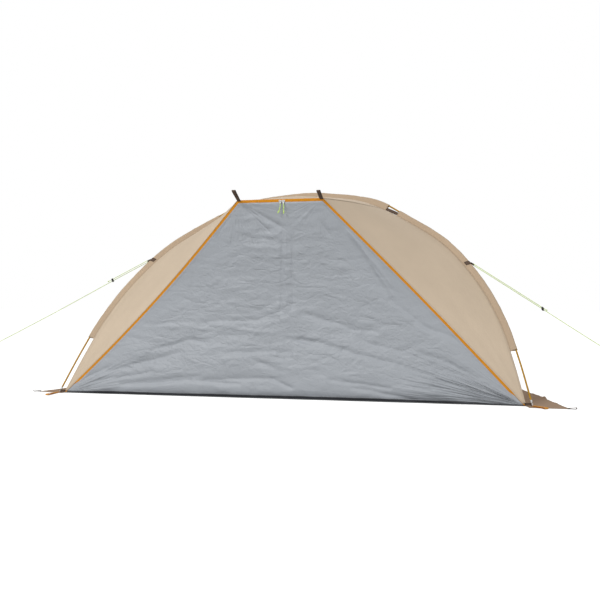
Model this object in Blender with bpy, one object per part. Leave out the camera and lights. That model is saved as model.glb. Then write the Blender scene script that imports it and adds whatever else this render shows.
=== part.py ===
"""Beach tent with a leaning arch pole and a zipped front panel.

X runs along the front, Y runs back into the tent and Z is up, in metres. The origin is on the
ground, at the middle of the floor sheet. In the functions below, depth is the distance back from
the line between the arch pole's feet.
"""
import math

import bmesh
import bpy
from mathutils import Matrix, Vector

# Overall sizes
FOOT_HALF = 1.315            # middle to the canopy's front ground corner
FOOT_INSET = 0.035           # from there out to the arch pole's foot
ARCH_HALF = FOOT_HALF + FOOT_INSET
ARCH_RISE = 1.3925           # foot to apex, measured up the arch's leaning plane
ARCH_LEAN = math.radians(30)
FLOOR_DEPTH = 1.250
REAR_HALF = 0.970
CORNER_HALF = 0.245          # half of the front opening's top edge
CORNER_HEIGHT = 1.102
# Half of the arch pole's shape: share of ARCH_HALF, share of the rise
ARCH_SHAPE_SHARES = [(1.0, 0.0), (0.946, 0.198), (0.890, 0.363), (0.793, 0.548), (0.640, 0.737),
                     (0.423, 0.8915), (0.370, 0.926), (0.311, 0.9545), (0.233, 0.974), (0.156, 0.9865)]
# The canopy's ridge behind the arch: share of the way back to the rear corner, share of the drop
RIDGE_BACK_SHARES = [(0.322, 0.089), (0.588, 0.259), (0.825, 0.520), (0.955, 0.770)]
RIDGE_CROWN = 0.015          # rise of the ridge between the front corner and the arch

# Poles: fibreglass tube, swaged ferrule, elastic cord
POLE_RADIUS = 0.00475
POLE_BORE = 0.0022
FERRULE_RADIUS = 0.0057
FERRULE_BORE = 0.0051
FERRULE_REACH = 0.030        # ferrule length on each side of a joint
JOINT_GAP = 0.0005
ELASTIC_RADIUS = 0.0011
ARCH_SECTIONS = 6
SIDE_SECTIONS = 3
STATIONS_PER_SECTION = 5
TIP_LENGTH = 0.032
TIP_CAP_LENGTH = 0.014
TIP_CAP_RADIUS = 0.0052
TIP_PIN_RADIUS = 0.0025

# Fabric and sewn seams
CLOTH = 0.0015
TOUCH = 0.0003               # gap between pieces that touch
EDGE_GAP = 0.0023            # from a seam's middle to the cloth beside it
SEAM_ALLOWANCE = 0.0050       # where a sleeve's two layers part above its seam
SLEEVE_WEB = 0.0020
SLEEVE_BORE = 0.0070
SLEEVE_RADIUS = 0.0085
TOP_SEAM_DROP = 0.0380       # arch pole's middle to the seam that its top sleeve stands on
SIDE_SEAM_DROP = 0.0300      # the same for the sleeves on the left and the right
SIDE_POLE_DROP = 0.0220      # ridge seam to the side pole's middle below it
SIDE_HANG = math.radians(20) # the side sleeves hang turned in from the ridge's plane
SIDE_SLEEVE_START = 0.050    # from the front corner, along the ridge
SIDE_SLEEVE_END = 0.026      # from the rear ground corner
# Where the arch sleeves end, measured up the leaning plane, by side
SLEEVE_END_RISE = {-1.0: 0.368, 1.0: 0.323}
GAP_INNER = 0.505            # the sleeve gap's ends, from the middle
GAP_OUTER = 0.573
GAP_MIDDLE = 0.541           # where the side pole crosses below
LEAST_SQUARE = 0.3           # least sine used where a border meets its rows at a sharp angle
HEM_HEIGHT = 0.0040
WALL_FOOT = 0.0032
FLOOR_THICK = 0.0020

# Front panel
EDGE_SETBACK = 0.090         # how far the zipped edges lie back at half height
HEM_SETBACK = 0.035
TAPE_START = 0.0010          # zip tape's distances in from the opening's edge
TAPE_MIDDLE = 0.0100
TAPE_END = 0.0190
PANEL_COLUMNS = 24
PANEL_ROWS = 12
TAPE_GAP = 0.0008            # between the zip's two tapes
HINGE_AHEAD = 0.0010         # hinge line ahead of the front line
HINGE_HEIGHT = 0.0025

# Zip sliders and pulls
SLIDER_LENGTH = 0.016
SLIDER_HEIGHT = 0.011
SLIDER_THICK = 0.0030
SLIDER_APART = 0.0185        # between the two sliders' middles
SLIDERS_MIDDLE = 0.012       # and where they meet
BRIDGE_REACH = 0.0028
BRIDGE_RADIUS = 0.0007
PULL_WIDTH = 0.0075
PULL_LENGTH = 0.014
PULL_THICK = 0.0012
EYE_WIDTH = 0.0045
EYE_HEIGHT = 0.0040
PULL_CORD_RADIUS = 0.0019
# Each cord below its pull: sideways, back and up from the pull's end, then the thickness
PULL_CORD_ROUTE = {
    "left": [(0.000, 0.0, 0.000, 1.0), (0.000, 0.0, -0.005, 1.0), (0.001, 0.0, -0.011, 1.0),
             (-0.002, 0.0, -0.022, 1.0), (-0.004, 0.0, -0.031, 1.0), (-0.005, 0.0, -0.038, 1.0),
             (-0.008, 0.0, -0.042, 1.9), (-0.011, 0.0, -0.047, 1.7), (-0.014, 0.0, -0.053, 1.0)],
    "right": [(0.000, 0.0, 0.000, 1.0), (0.000, 0.0, -0.005, 1.0), (0.003, 0.0, -0.012, 1.0),
              (0.001, 0.0, -0.023, 1.0), (-0.001, 0.0, -0.033, 1.0), (0.001, 0.0, -0.040, 1.0),
              (0.002, 0.0, -0.045, 1.9), (0.002, 0.0, -0.050, 1.7), (-0.001, 0.0, -0.056, 1.0)],
}

# Webbing
WEB = 0.0014
WEB_WIDTH = 0.020
CORNER_LOOP_LENGTH = {-1.0: 0.110, 1.0: 0.085}
LOOP_SEWN = 0.0005           # half of a loop's gap at its sewn end
CORNER_LOOP_SLOT = 0.0034    # half of a loop's gap at its bend
GUY_LOOP_LENGTH = 0.026
GUY_LOOP_WIDTH = 0.0100
GUY_LOOP_SLOT = 0.0022
GROUND_LOOP_SLOT = 0.0032
FOOT_STRAP_LENGTH = {-1.0: 0.165, 1.0: 0.130}
FOOT_STRAP_WAY = {-1.0: Vector((0.10, -0.99, 0.0)), 1.0: Vector((0.50, -0.87, 0.0))}
REAR_STRAP_LENGTH = 0.110
FLAP_LOOP_LENGTH = 0.045
FLAP_LOOP_WIDTH = 0.014
TAB_HEIGHT = 0.012
RING_RADIUS = 0.0095
RING_WIRE = 0.0017

# Sand flaps
FLAP_WIDTH = {-1.0: 0.185, 1.0: 0.200}
FLAP_AHEAD = {-1.0: 0.022, 1.0: 0.070}
FLAP_SLANT = {-1.0: 0.040, 1.0: 0.0}    # how far its front edge runs back to the outer corner
FLAP_WAVE = 0.006
FLAP_TOP = CLOTH + TOUCH

# Guy lines
GUY_INSET = {-1.0: 0.385, 1.0: 0.350}   # from the arch pole's feet in to the guy loops, by side
GUY_WAY = Vector((0.743, -0.464, -0.482)).normalized()
GUY_RADIUS = 0.0015
GUY_SPREAD = 0.014           # between the doubled strands
# Each line's route: distance down the line from its loop's base, offset across it, thickness
GUY_TURN = [(0.041, 0.0070, 1.0), (0.028, 0.0074, 1.0), (0.0237, 0.0068, 1.0),
            (0.0221, 0.0045, 1.0), (0.0220, 0.0000, 1.0), (0.0221, -0.0045, 1.0),
            (0.0237, -0.0068, 1.0), (0.028, -0.0074, 1.0), (0.041, -0.0070, 1.0)]
GUY_EYE = [(1.060, -0.0070, 1.0), (1.064, -0.0070, 2.6), (1.069, -0.0070, 1.0),
           (1.078, -0.0110, 1.0), (1.091, -0.0160, 1.0), (1.103, -0.0120, 1.0),
           (1.108, -0.0020, 1.0), (1.102, 0.0070, 1.0), (1.089, 0.0090, 1.0),
           (1.077, 0.0030, 1.0), (1.071, -0.0025, 1.0)]
GUY_ROUTE = {
    "left": [(0.302, 0.0070, 1.0), (0.298, 0.0070, 2.4), (0.294, 0.0070, 1.0), (0.160, 0.0070, 1.0)]
            + GUY_TURN + [(0.300, -0.0070, 1.0), (0.480, -0.0100, 1.0), (0.680, -0.0120, 1.0),
                          (0.880, -0.0100, 1.0)] + GUY_EYE,
    "right": [(0.562, 0.0070, 1.0), (0.558, 0.0070, 2.4), (0.554, 0.0070, 1.0), (0.300, 0.0070, 1.0)]
             + GUY_TURN + [(0.300, -0.0070, 1.0), (0.556, -0.0070, 1.0), (0.720, -0.0085, 1.0),
                           (0.900, -0.0085, 1.0)] + GUY_EYE,
}
RUNNER_RUN = {"left": 0.270, "right": 0.530}   # loop to runner, down each line
RUNNER_LENGTH = 0.012
RUNNER_WIDTH = 0.026
RUNNER_THICK = 0.0075
RUNNER_BORE = 0.0022

SIDES = {"left": -1.0, "right": 1.0}
ROUND = 8                    # sides of a round tube
ELASTIC_SIDES = 6
BRIDGE_STEPS = 8
SPLINE_STEPS = 24
CORD_STEPS = 2


for old in list(bpy.data.objects):
    bpy.data.objects.remove(old, do_unlink=True)


def finish(name, colour, roughness, metallic=0.0):
    """One Principled material."""
    made = bpy.data.materials.new(name)
    made.use_nodes = True
    shader = made.node_tree.nodes["Principled BSDF"]
    shader.inputs["Base Color"].default_value = (*colour, 1.0)
    shader.inputs["Roughness"].default_value = roughness
    shader.inputs["Metallic"].default_value = metallic
    return made


SAND = finish("sand_polyester", (0.54, 0.44, 0.34), 0.75)
SLEEVE_CLOTH = finish("sleeve_polyester", (0.50, 0.40, 0.28), 0.75)
GREY = finish("grey_coated_polyester", (0.34, 0.36, 0.38), 0.55)
FLOOR = finish("floor_sheet", (0.16, 0.17, 0.18), 0.6)
FLAP = finish("brown_flap", (0.30, 0.21, 0.15), 0.8)
ORANGE = finish("orange_zip", (0.69, 0.27, 0.03), 0.6)
BROWN = finish("brown_webbing", (0.07, 0.05, 0.04), 0.8)
LIME = finish("lime_cord", (0.45, 0.70, 0.22), 0.7)
GOLD = finish("gold_fibreglass", (0.62, 0.36, 0.05), 0.35)
STEEL = finish("bright_metal", (0.70, 0.70, 0.68), 0.3, 1.0)
DARK = finish("dark_plastic", (0.03, 0.03, 0.03), 0.5)
WHITE = finish("elastic_cord", (0.70, 0.70, 0.68), 0.8)


def at(x, depth, z):
    """A point from its distance to the middle, its depth and its height."""
    return Vector((x, depth - FLOOR_DEPTH / 2, z))


def mirrored(point, side):
    """The point on the left or the right half."""
    return Vector((point.x * side, point.y, point.z))


def smooth_through(points, steps=SPLINE_STEPS):
    """Closely spaced points on a smooth curve through the given ones, however they are spaced."""
    ends = [2 * points[0] - points[1]] + list(points) + [2 * points[-1] - points[-2]]
    curve = []
    for a, b, c, d in zip(ends, ends[1:], ends[2:], ends[3:]):
        t1 = math.sqrt((b - a).length)
        t2 = t1 + math.sqrt((c - b).length)
        t3 = t2 + math.sqrt((d - c).length)
        for step in range(steps):
            t = t1 + (t2 - t1) * step / steps
            ab, bc, cd = a.lerp(b, t / t1), b.lerp(c, (t - t1) / (t2 - t1)), c.lerp(d, (t - t2) / (t3 - t2))
            curve.append(ab.lerp(bc, t / t2).lerp(bc.lerp(cd, (t - t1) / (t3 - t1)), (t - t1) / (t2 - t1)))
    curve.append(points[-1].copy())
    return curve


class Route:
    """A bent line in one plane, with the outward direction at each of its points."""

    def __init__(self, points, plane, outwards=None):
        self.points = points
        self.plane = plane
        self.run = [0.0]
        for a, b in zip(points, points[1:]):
            self.run.append(self.run[-1] + (b - a).length)
        self.length = self.run[-1]
        self.outwards = outwards or self.find_outwards()

    def find_outwards(self):
        found = []
        for i in range(len(self.points)):
            ahead = self.points[min(i + 1, len(self.points) - 1)]
            behind = self.points[max(i - 1, 0)]
            found.append(self.plane.cross(ahead - behind).normalized())
        return found

    def evenly(self, count):
        """The same line with its points spaced evenly."""
        points = [self.place(self.length * i / count)[0] for i in range(count + 1)]
        return Route(points, self.plane)

    def place(self, run):
        """The point at a distance along the line, and its outward direction."""
        run = min(max(run, 0.0), self.length)
        i = 0
        while i < len(self.points) - 2 and self.run[i + 1] < run:
            i += 1
        share = (run - self.run[i]) / (self.run[i + 1] - self.run[i])
        point = self.points[i].lerp(self.points[i + 1], share)
        outward = self.outwards[i].lerp(self.outwards[i + 1], share).normalized()
        return point, outward

    def stops(self, start, end):
        """Distances from start to end, with the line's own points between them."""
        inner = [r for r in self.run if start + CLOTH < r < end - CLOTH]
        return [start] + inner + [end]

    def run_where(self, test):
        """The distance along the line where test, falling with distance, reaches zero."""
        low, high = 0.0, self.length / 2
        for _ in range(40):
            middle = (low + high) / 2
            if test(self.place(middle)[0]) > 0:
                low = middle
            else:
                high = middle
        return low


def lean_point(x, rise):
    """A point in the arch's leaning plane."""
    return at(x, rise * math.sin(ARCH_LEAN), rise * math.cos(ARCH_LEAN))


def arch_route():
    """The arch pole's middle line, from the right foot over the top to the left foot."""
    half = [lean_point(x * ARCH_HALF, rise * ARCH_RISE) for x, rise in ARCH_SHAPE_SHARES]
    top = [lean_point(0.0, ARCH_RISE)]
    other = [mirrored(point, -1.0) for point in reversed(half)]
    plane = Vector((0.0, math.cos(ARCH_LEAN), -math.sin(ARCH_LEAN)))
    line = Route(smooth_through(half + top + other), plane)
    return line.evenly(ARCH_SECTIONS * STATIONS_PER_SECTION)


ARCH = arch_route()
CROSS_RUN = ARCH.run_where(lambda point: point.x - GAP_MIDDLE)
GAP_RUNS = (ARCH.run_where(lambda point: point.x - GAP_OUTER),
            ARCH.run_where(lambda point: point.x - GAP_INNER))
SLEEVE_END_RUN = {side: ARCH.run_where(lambda point: rise * math.cos(ARCH_LEAN) - point.z)
                  for side, rise in SLEEVE_END_RISE.items()}
GUY_RUN = {side: ARCH.run_where(lambda point: point.x - ARCH_HALF + inset)
           for side, inset in GUY_INSET.items()}


def seam_drop(run):
    """How far the seam lies below the arch pole; it changes inside each gap."""
    near = min(run, ARCH.length - run)
    share = min(max((near - GAP_RUNS[0]) / (GAP_RUNS[1] - GAP_RUNS[0]), 0.0), 1.0)
    return SIDE_SEAM_DROP + (TOP_SEAM_DROP - SIDE_SEAM_DROP) * share * share * (3 - 2 * share)


CROSS_POINT, CROSS_OUT = ARCH.place(CROSS_RUN)
CROSSING = CROSS_POINT - CROSS_OUT * seam_drop(CROSS_RUN)
FRONT_CORNER = at(CORNER_HALF, 0.0, CORNER_HEIGHT)
REAR_CORNER = at(REAR_HALF, FLOOR_DEPTH, WALL_FOOT)
GROUND_CORNER = at(FOOT_HALF, 0.0, WALL_FOOT)


def ridge_route():
    """The right ridge: front corner, crossing below the arch, rear ground corner."""
    plane = (REAR_CORNER - FRONT_CORNER).cross(CROSSING - FRONT_CORNER).normalized()
    outward = plane.cross(CROSSING - FRONT_CORNER).normalized()
    points = [FRONT_CORNER, FRONT_CORNER.lerp(CROSSING, 0.5) + outward * RIDGE_CROWN, CROSSING]
    flat = Vector((REAR_CORNER.x - CROSSING.x, REAR_CORNER.y - CROSSING.y, 0.0))
    for back, drop in RIDGE_BACK_SHARES:
        point = CROSSING + flat * back
        point.z = CROSSING.z + (REAR_CORNER.z - CROSSING.z) * drop
        points.append(point - plane * (point - CROSSING).dot(plane))
    points.append(REAR_CORNER)
    return Route(smooth_through(points), plane)


def ridge_stations(line):
    """The ridge with evenly spaced points, one of them exactly at the crossing."""
    front_run = line.run[2 * SPLINE_STEPS]
    total = SIDE_SECTIONS * STATIONS_PER_SECTION
    front = round(total * front_run / line.length)
    runs = [front_run * i / front for i in range(front)]
    runs += [front_run + (line.length - front_run) * i / (total - front)
             for i in range(total - front + 1)]
    return Route([line.place(run)[0] for run in runs], line.plane), front


RIDGE, RIDGE_FRONT_STEPS = ridge_stations(ridge_route())


def other_half(line):
    """The same line on the left half."""
    plane = Vector((-line.plane.x, line.plane.y, line.plane.z))
    return Route([mirrored(point, -1.0) for point in line.points], plane,
                 [mirrored(way, -1.0) for way in line.outwards])


def add_piece(name, mesh_data, look, origin=None, parent=None):
    """A named object whose origin lies at the given place."""
    origin = origin or Vector()
    bmesh.ops.recalc_face_normals(mesh_data, faces=mesh_data.faces[:])
    bmesh.ops.translate(mesh_data, verts=mesh_data.verts[:], vec=-origin)
    mesh = bpy.data.meshes.new(name)
    mesh_data.to_mesh(mesh)
    mesh_data.free()
    mesh.materials.append(look)
    mesh.shade_smooth()
    mesh.set_sharp_from_angle(angle=math.radians(40))
    piece = bpy.data.objects.new(name, mesh)
    bpy.context.scene.collection.objects.link(piece)
    piece.location = origin
    if parent:
        piece.parent = parent
        piece.location = origin - parent.location
    return piece


def add_cord(name, points, thicknesses, radius, origin=None, parent=None):
    """A cord through its route's points; a knot is a stretch of greater thickness."""
    origin = origin or Vector()
    curve = bpy.data.curves.new(name, "CURVE")
    curve.dimensions = "3D"
    curve.bevel_depth = radius
    curve.bevel_resolution = 2
    curve.use_fill_caps = True
    smooth = smooth_through(points, CORD_STEPS)
    line = curve.splines.new("POLY")
    line.points.add(len(smooth) - 1)
    for i, point in enumerate(smooth):
        start, part = divmod(i, CORD_STEPS)
        ahead = min(start + 1, len(thicknesses) - 1)
        thickness = thicknesses[start] + (thicknesses[ahead] - thicknesses[start]) * part / CORD_STEPS
        line.points[i].co = (*(point - origin), 1.0)
        line.points[i].radius = thickness
    curve.materials.append(LIME)
    piece = bpy.data.objects.new(name, curve)
    bpy.context.scene.collection.objects.link(piece)
    piece.location = origin
    if parent:
        piece.parent = parent
        piece.location = origin - parent.location
    return piece


def add_empty(name, place):
    """A guide that pieces on a joint are parented to."""
    guide = bpy.data.objects.new(name, None)
    bpy.context.scene.collection.objects.link(guide)
    guide.location = place
    return guide


def skin(mesh_data, rings):
    """Faces between rings of points; gives back the rings' vertices."""
    made = [[mesh_data.verts.new(point) for point in ring] for ring in rings]
    for near, far in zip(made, made[1:]):
        for i in range(len(near)):
            j = (i + 1) % len(near)
            mesh_data.faces.new((near[i], near[j], far[j], far[i]))
    return made


def swept(outer, inner=None):
    """A closed solid through rings of points, hollow where inner rings are given."""
    made = bmesh.new()
    shell = skin(made, outer)
    if inner is None:
        made.faces.new(list(reversed(shell[0])))
        made.faces.new(shell[-1])
        return made
    hole = skin(made, inner)
    for skin_end, hole_end in ((shell[0], hole[0]), (shell[-1], hole[-1])):
        for i in range(len(skin_end)):
            j = (i + 1) % len(skin_end)
            made.faces.new((skin_end[i], hole_end[i], hole_end[j], skin_end[j]))
    return made


def ring(middle, radius, across, up, sides=ROUND):
    """Points on a circle."""
    turns = [2 * math.pi * i / sides for i in range(sides)]
    return [middle + across * (radius * math.cos(a)) + up * (radius * math.sin(a)) for a in turns]


def thick_sheet(grid):
    """A closed solid of cloth thickness about a grid of points."""
    rows, columns = len(grid), len(grid[0])
    faces = {1: [], -1: []}
    made = bmesh.new()
    for face, layer in faces.items():
        for i in range(rows):
            line = []
            for j in range(columns):
                along = grid[min(i + 1, rows - 1)][j] - grid[max(i - 1, 0)][j]
                across = grid[i][min(j + 1, columns - 1)] - grid[i][max(j - 1, 0)]
                normal = along.cross(across).normalized()
                line.append(made.verts.new(grid[i][j] + normal * (face * CLOTH / 2)))
            layer.append(line)
    top, bottom = faces[1], faces[-1]
    for i in range(rows - 1):
        for j in range(columns - 1):
            for layer in (top, bottom):
                made.faces.new((layer[i][j], layer[i][j + 1], layer[i + 1][j + 1], layer[i + 1][j]))
    rim = [(0, j) for j in range(columns)] + [(i, columns - 1) for i in range(1, rows)]
    rim += [(rows - 1, j) for j in reversed(range(columns - 1))]
    rim += [(i, 0) for i in reversed(range(1, rows - 1))]
    for (i, j), (k, m) in zip(rim, rim[1:] + rim[:1]):
        made.faces.new((top[i][j], top[k][m], bottom[k][m], bottom[i][j]))
    return made


def draw_in(border, inside, gap):
    """The border's points, moved towards the points inside them by a clear gap."""
    moved = []
    for i, (edge, within) in enumerate(zip(border, inside)):
        along = (border[min(i + 1, len(border) - 1)] - border[max(i - 1, 0)]).normalized()
        way = (within - edge).normalized()
        square = (way - along * way.dot(along)).length
        moved.append(edge + way * (gap / max(square, LEAST_SQUARE)))
    return moved


def trimmed(grid, first=0.0, last=0.0, left=0.0, right=0.0):
    """The grid with its borders drawn in, so that neighbours keep clear of each other."""
    grid = [list(row) for row in grid]
    grid[0] = draw_in(grid[0], grid[1], first)
    grid[-1] = draw_in(grid[-1], grid[-2], last)
    left_edge = draw_in([row[0] for row in grid], [row[1] for row in grid], left)
    right_edge = draw_in([row[-1] for row in grid], [row[-2] for row in grid], right)
    for row, start, end in zip(grid, left_edge, right_edge):
        row[0], row[-1] = start, end
    return grid


def blended(low, high, left, right):
    """A sheet spanned by four border lines: rows run from low to high."""
    rows, columns = len(left), len(low)
    grid = []
    for i in range(rows):
        v = i / (rows - 1)
        row = []
        for j in range(columns):
            u = j / (columns - 1)
            span = low[j].lerp(high[j], v) + left[i].lerp(right[i], u)
            corners = low[0].lerp(low[-1], u).lerp(high[0].lerp(high[-1], u), v)
            row.append(span - corners)
        grid.append(row)
    return grid


def shares_along(points):
    """Each point's share of the line's length."""
    run = [0.0]
    for a, b in zip(points, points[1:]):
        run.append(run[-1] + (b - a).length)
    return [r / run[-1] for r in run]


# The front opening's surface

def edge_half(z, inset=0.0):
    """Half the width of the front opening at a height, drawn in square to the slanted edge."""
    run = Vector((FOOT_HALF - CORNER_HALF, CORNER_HEIGHT - WALL_FOOT))
    share = (z - WALL_FOOT) / run.y
    return FOOT_HALF - run.x * share - inset * run.length / run.y


def front_depth(x, z):
    """How far back the front surface lies."""
    up = z / CORNER_HEIGHT
    bow = EDGE_SETBACK * math.sin(math.pi * min(up, 1.0))
    hem = HEM_SETBACK * (1 - (x / FOOT_HALF) ** 2) * (1 - up) ** 2
    return bow + hem


def front_point(x, z):
    return at(x, front_depth(x, z), z)


# Main folds of the front panel: ends as shares of the half span and of the height, the fold's
# width and its depth. They are pulled out of the corners and off the hem, as tension does.
FOLD_WIDTH = 0.045
FOLD_DEPTH = 0.006
FOLD_FADE = 0.25             # share of the panel over which folds fade towards its borders
PANEL_FOLD_SHARES = [((-0.16, 0.97), (0.02, 0.80), 1.0), ((0.26, 0.84), (0.44, 0.58), 0.8),
                     ((0.93, 0.05), (0.10, 0.42), 1.0), ((0.90, 0.10), (0.30, 0.60), -0.8),
                     ((-0.90, 0.06), (-0.20, 0.35), 0.8), ((-0.50, 0.20), (0.10, 0.17), -0.7),
                     ((0.015, 0.35), (0.015, 0.85), -0.6), ((0.10, 0.12), (0.70, 0.06), 0.8)]


def panel_folds(x, z, inset_share):
    """Depth of the panel's folds, fading to nothing at its zipped edges and hem."""
    place = Vector((x, z))
    depth = 0.0
    for start, end, strength in PANEL_FOLD_SHARES:
        a = Vector((start[0] * FOOT_HALF, start[1] * CORNER_HEIGHT))
        b = Vector((end[0] * FOOT_HALF, end[1] * CORNER_HEIGHT))
        share = (place - a).dot(b - a) / (b - a).length_squared
        off = (place - a.lerp(b, min(max(share, 0.0), 1.0))).length
        depth += strength * FOLD_DEPTH * math.exp(-(off / FOLD_WIDTH) ** 2)
    return depth * inset_share


def make_front_panel(hinge):
    """The grey panel inside its zip tape."""
    inset = TAPE_END + TOUCH
    top = CORNER_HEIGHT - inset
    grid = []
    for i in range(PANEL_ROWS + 1):
        up = i / PANEL_ROWS
        z = HEM_HEIGHT + (top - HEM_HEIGHT) * up
        half = edge_half(z, inset)
        row = []
        for j in range(PANEL_COLUMNS + 1):
            across = 2 * j / PANEL_COLUMNS - 1
            borders = (1 - abs(across), up, 1 - up)
            calm = math.prod(min(1.0, share / FOLD_FADE) for share in borders)
            point = front_point(across * half, z)
            point.y += panel_folds(across * half, z, calm)
            row.append(point)
        grid.append(row)
    add_piece("front_panel", thick_sheet(grid), GREY, hinge.location, hinge)


def tape_grid(outer, inner):
    """A strip round the sides and top of the front opening, between two insets."""
    edges = []
    for inset in (outer, inner):
        top = CORNER_HEIGHT - inset
        heights = [HEM_HEIGHT + (top - HEM_HEIGHT) * i / PANEL_ROWS for i in range(PANEL_ROWS + 1)]
        right = [front_point(edge_half(z, inset), z) for z in heights]
        left = [front_point(-edge_half(z, inset), z) for z in reversed(heights)]
        edges.append(right + left)
    return [list(pair) for pair in zip(*edges)]


def outline_edge(share):
    """A point on the right slanted edge of the opening, by its share of the way up."""
    z = WALL_FOOT + (CORNER_HEIGHT - WALL_FOOT) * share
    return front_point(edge_half(z), z)


# Canopy

def arch_seam(start, end):
    seam = []
    for run in ARCH.stops(start, end):
        point, outward = ARCH.place(run)
        seam.append(point - outward * seam_drop(run))
    return seam


START_RUN = 0.025            # the wings and walls begin a little above the ground corner


def make_wing(name, side):
    """The sheet between the slanted zip and the arch."""
    seam = [GROUND_CORNER] + arch_seam(START_RUN, CROSS_RUN)
    shares = shares_along(seam)[1:]
    seam = seam[1:]
    ridge = RIDGE.points[:RIDGE_FRONT_STEPS + 1]
    straight = shares_along(ridge)
    grid = []
    for point, share in zip(seam, shares):
        edge = outline_edge(share)
        row = []
        for across, on_ridge in zip(straight, ridge):
            bend = on_ridge - FRONT_CORNER.lerp(CROSSING, across)
            row.append(edge.lerp(point, across) + bend * share)
        grid.append([mirrored(p, side) for p in row])
    grid = trimmed(grid, last=EDGE_GAP, left=TAPE_START + TOUCH, right=EDGE_GAP)
    add_piece(name, thick_sheet(grid), SAND)


def make_side_wall(name, side):
    """The sheet between the arch and the side ground edge."""
    seam = [GROUND_CORNER] + arch_seam(START_RUN, CROSS_RUN)
    shares = shares_along(seam)[1:]
    seam = seam[1:]
    ridge = RIDGE.points[RIDGE_FRONT_STEPS:]
    straight = shares_along(ridge)
    grid = []
    for point, share in zip(seam, shares):
        foot = GROUND_CORNER.lerp(REAR_CORNER, share)
        row = []
        for down, on_ridge in zip(straight, ridge):
            bend = on_ridge - CROSSING.lerp(REAR_CORNER, down)
            row.append(point.lerp(foot, down) + bend * share)
        grid.append([mirrored(p, side) for p in row])
    grid = trimmed(grid, last=EDGE_GAP, left=EDGE_GAP)
    add_piece(name, thick_sheet(grid), SAND)


def make_visor():
    """The narrow roof between the zip's top edge and the arch."""
    seam = arch_seam(CROSS_RUN, ARCH.length - CROSS_RUN)
    shares = shares_along(seam)
    front = [front_point(CORNER_HALF * (1 - 2 * share), CORNER_HEIGHT) for share in shares]
    right = RIDGE.points[:RIDGE_FRONT_STEPS + 1]
    left = [mirrored(point, -1.0) for point in right]
    grid = trimmed(blended(front, seam, right, left), TAPE_START + TOUCH, EDGE_GAP,
                   EDGE_GAP, EDGE_GAP)
    add_piece("visor_roof", thick_sheet(grid), SAND)


def make_back_wall():
    """The back of the canopy, from the top of the arch to the rear ground edge."""
    seam = arch_seam(CROSS_RUN, ARCH.length - CROSS_RUN)
    shares = shares_along(seam)
    left_rear = mirrored(REAR_CORNER, -1.0)
    foot = [REAR_CORNER.lerp(left_rear, share) for share in shares]
    right = RIDGE.points[RIDGE_FRONT_STEPS:]
    left = [mirrored(point, -1.0) for point in right]
    grid = trimmed(blended(seam, foot, right, left), EDGE_GAP, 0.0, EDGE_GAP, EDGE_GAP)
    add_piece("back_wall", thick_sheet(grid), SAND)


def make_floor():
    """The floor sheet inside the walls' feet."""
    corners = [(FOOT_HALF, 0.0), (REAR_HALF, FLOOR_DEPTH), (-REAR_HALF, FLOOR_DEPTH),
               (-FOOT_HALF, 0.0)]
    rings = [[at(x, depth, z) for x, depth in corners] for z in (0.0, FLOOR_THICK)]
    add_piece("groundsheet", swept(rings), FLOOR)


# Poles and sleeves

def tube_rings(line, stops, radii, shift, sides=ROUND):
    """Rings beside a route, at the given distances along it and of the given radii."""
    rings = []
    for run, radius in zip(stops, radii):
        point, outward = line.place(run)
        middle = point + outward * shift[0] + line.plane * shift[1]
        rings.append(ring(middle, radius, outward, line.plane, sides))
    return rings


def make_pole_section(name, line, start, end, shift, socket):
    """A length of fibreglass tube; socket is the ferrule that takes the next length's end."""
    stops = line.stops(start, end)
    outer_stops, outer = stops, [POLE_RADIUS] * len(stops)
    inner_stops, inner = stops, [POLE_BORE] * len(stops)
    if socket:
        body = line.stops(start, end - FERRULE_REACH)
        mouth = line.stops(end - FERRULE_REACH, end + FERRULE_REACH)
        outer_stops = body + mouth
        outer = [POLE_RADIUS] * len(body) + [FERRULE_RADIUS] * len(mouth)
        cup = line.stops(end, end + FERRULE_REACH)
        inner_stops = stops + cup
        inner = [POLE_BORE] * len(stops) + [FERRULE_BORE] * len(cup)
    rings = tube_rings(line, outer_stops, outer, shift)
    bore = tube_rings(line, inner_stops, inner, shift)
    add_piece(name, swept(rings, bore), GOLD)


def make_pole(name, line, start, end, sections, shift=(0.0, 0.0)):
    """A pole's sections in order, and the elastic cord through them."""
    length = (end - start) / sections
    for i in range(sections):
        first = start + length * i + (JOINT_GAP if i else 0.0)
        last = start + length * (i + 1)
        make_pole_section(f"{name}_section_{i + 1}", line, first, last, shift, i < sections - 1)
    stops = line.stops(start + JOINT_GAP, end - JOINT_GAP)
    rings = tube_rings(line, stops, [ELASTIC_RADIUS] * len(stops), shift, ELASTIC_SIDES)
    add_piece(f"{name}_elastic", swept(rings), WHITE)


POCKET_TURNS = [math.radians(turn) for turn in (-150, -90, -30, 30, 90, 150)]
POCKET_FOOT_TURNS = [math.radians(turn) for turn in (160, 173, -173, -160)]


def sleeve_section(pole, seam, plane):
    """A sleeve's outer and inner outline: the pole's pocket and the web down to its seam."""
    away = (pole - seam).normalized()
    beside = (plane - away * plane.dot(away)).normalized()
    turns = POCKET_TURNS + POCKET_FOOT_TURNS
    inner = [pole + away * (SLEEVE_BORE * math.cos(turn)) + beside * (SLEEVE_BORE * math.sin(turn))
             for turn in turns]
    outer = [pole + away * (SLEEVE_RADIUS * math.cos(turn)) + beside * (SLEEVE_RADIUS * math.sin(turn))
             for turn in POCKET_TURNS]
    neck = seam + away * SEAM_ALLOWANCE
    foot = seam - away * (SLEEVE_WEB / 2)
    half = beside * (SLEEVE_WEB / 2)
    outer += [neck + half, foot + half, foot - half, neck - half]
    return outer, inner


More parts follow.
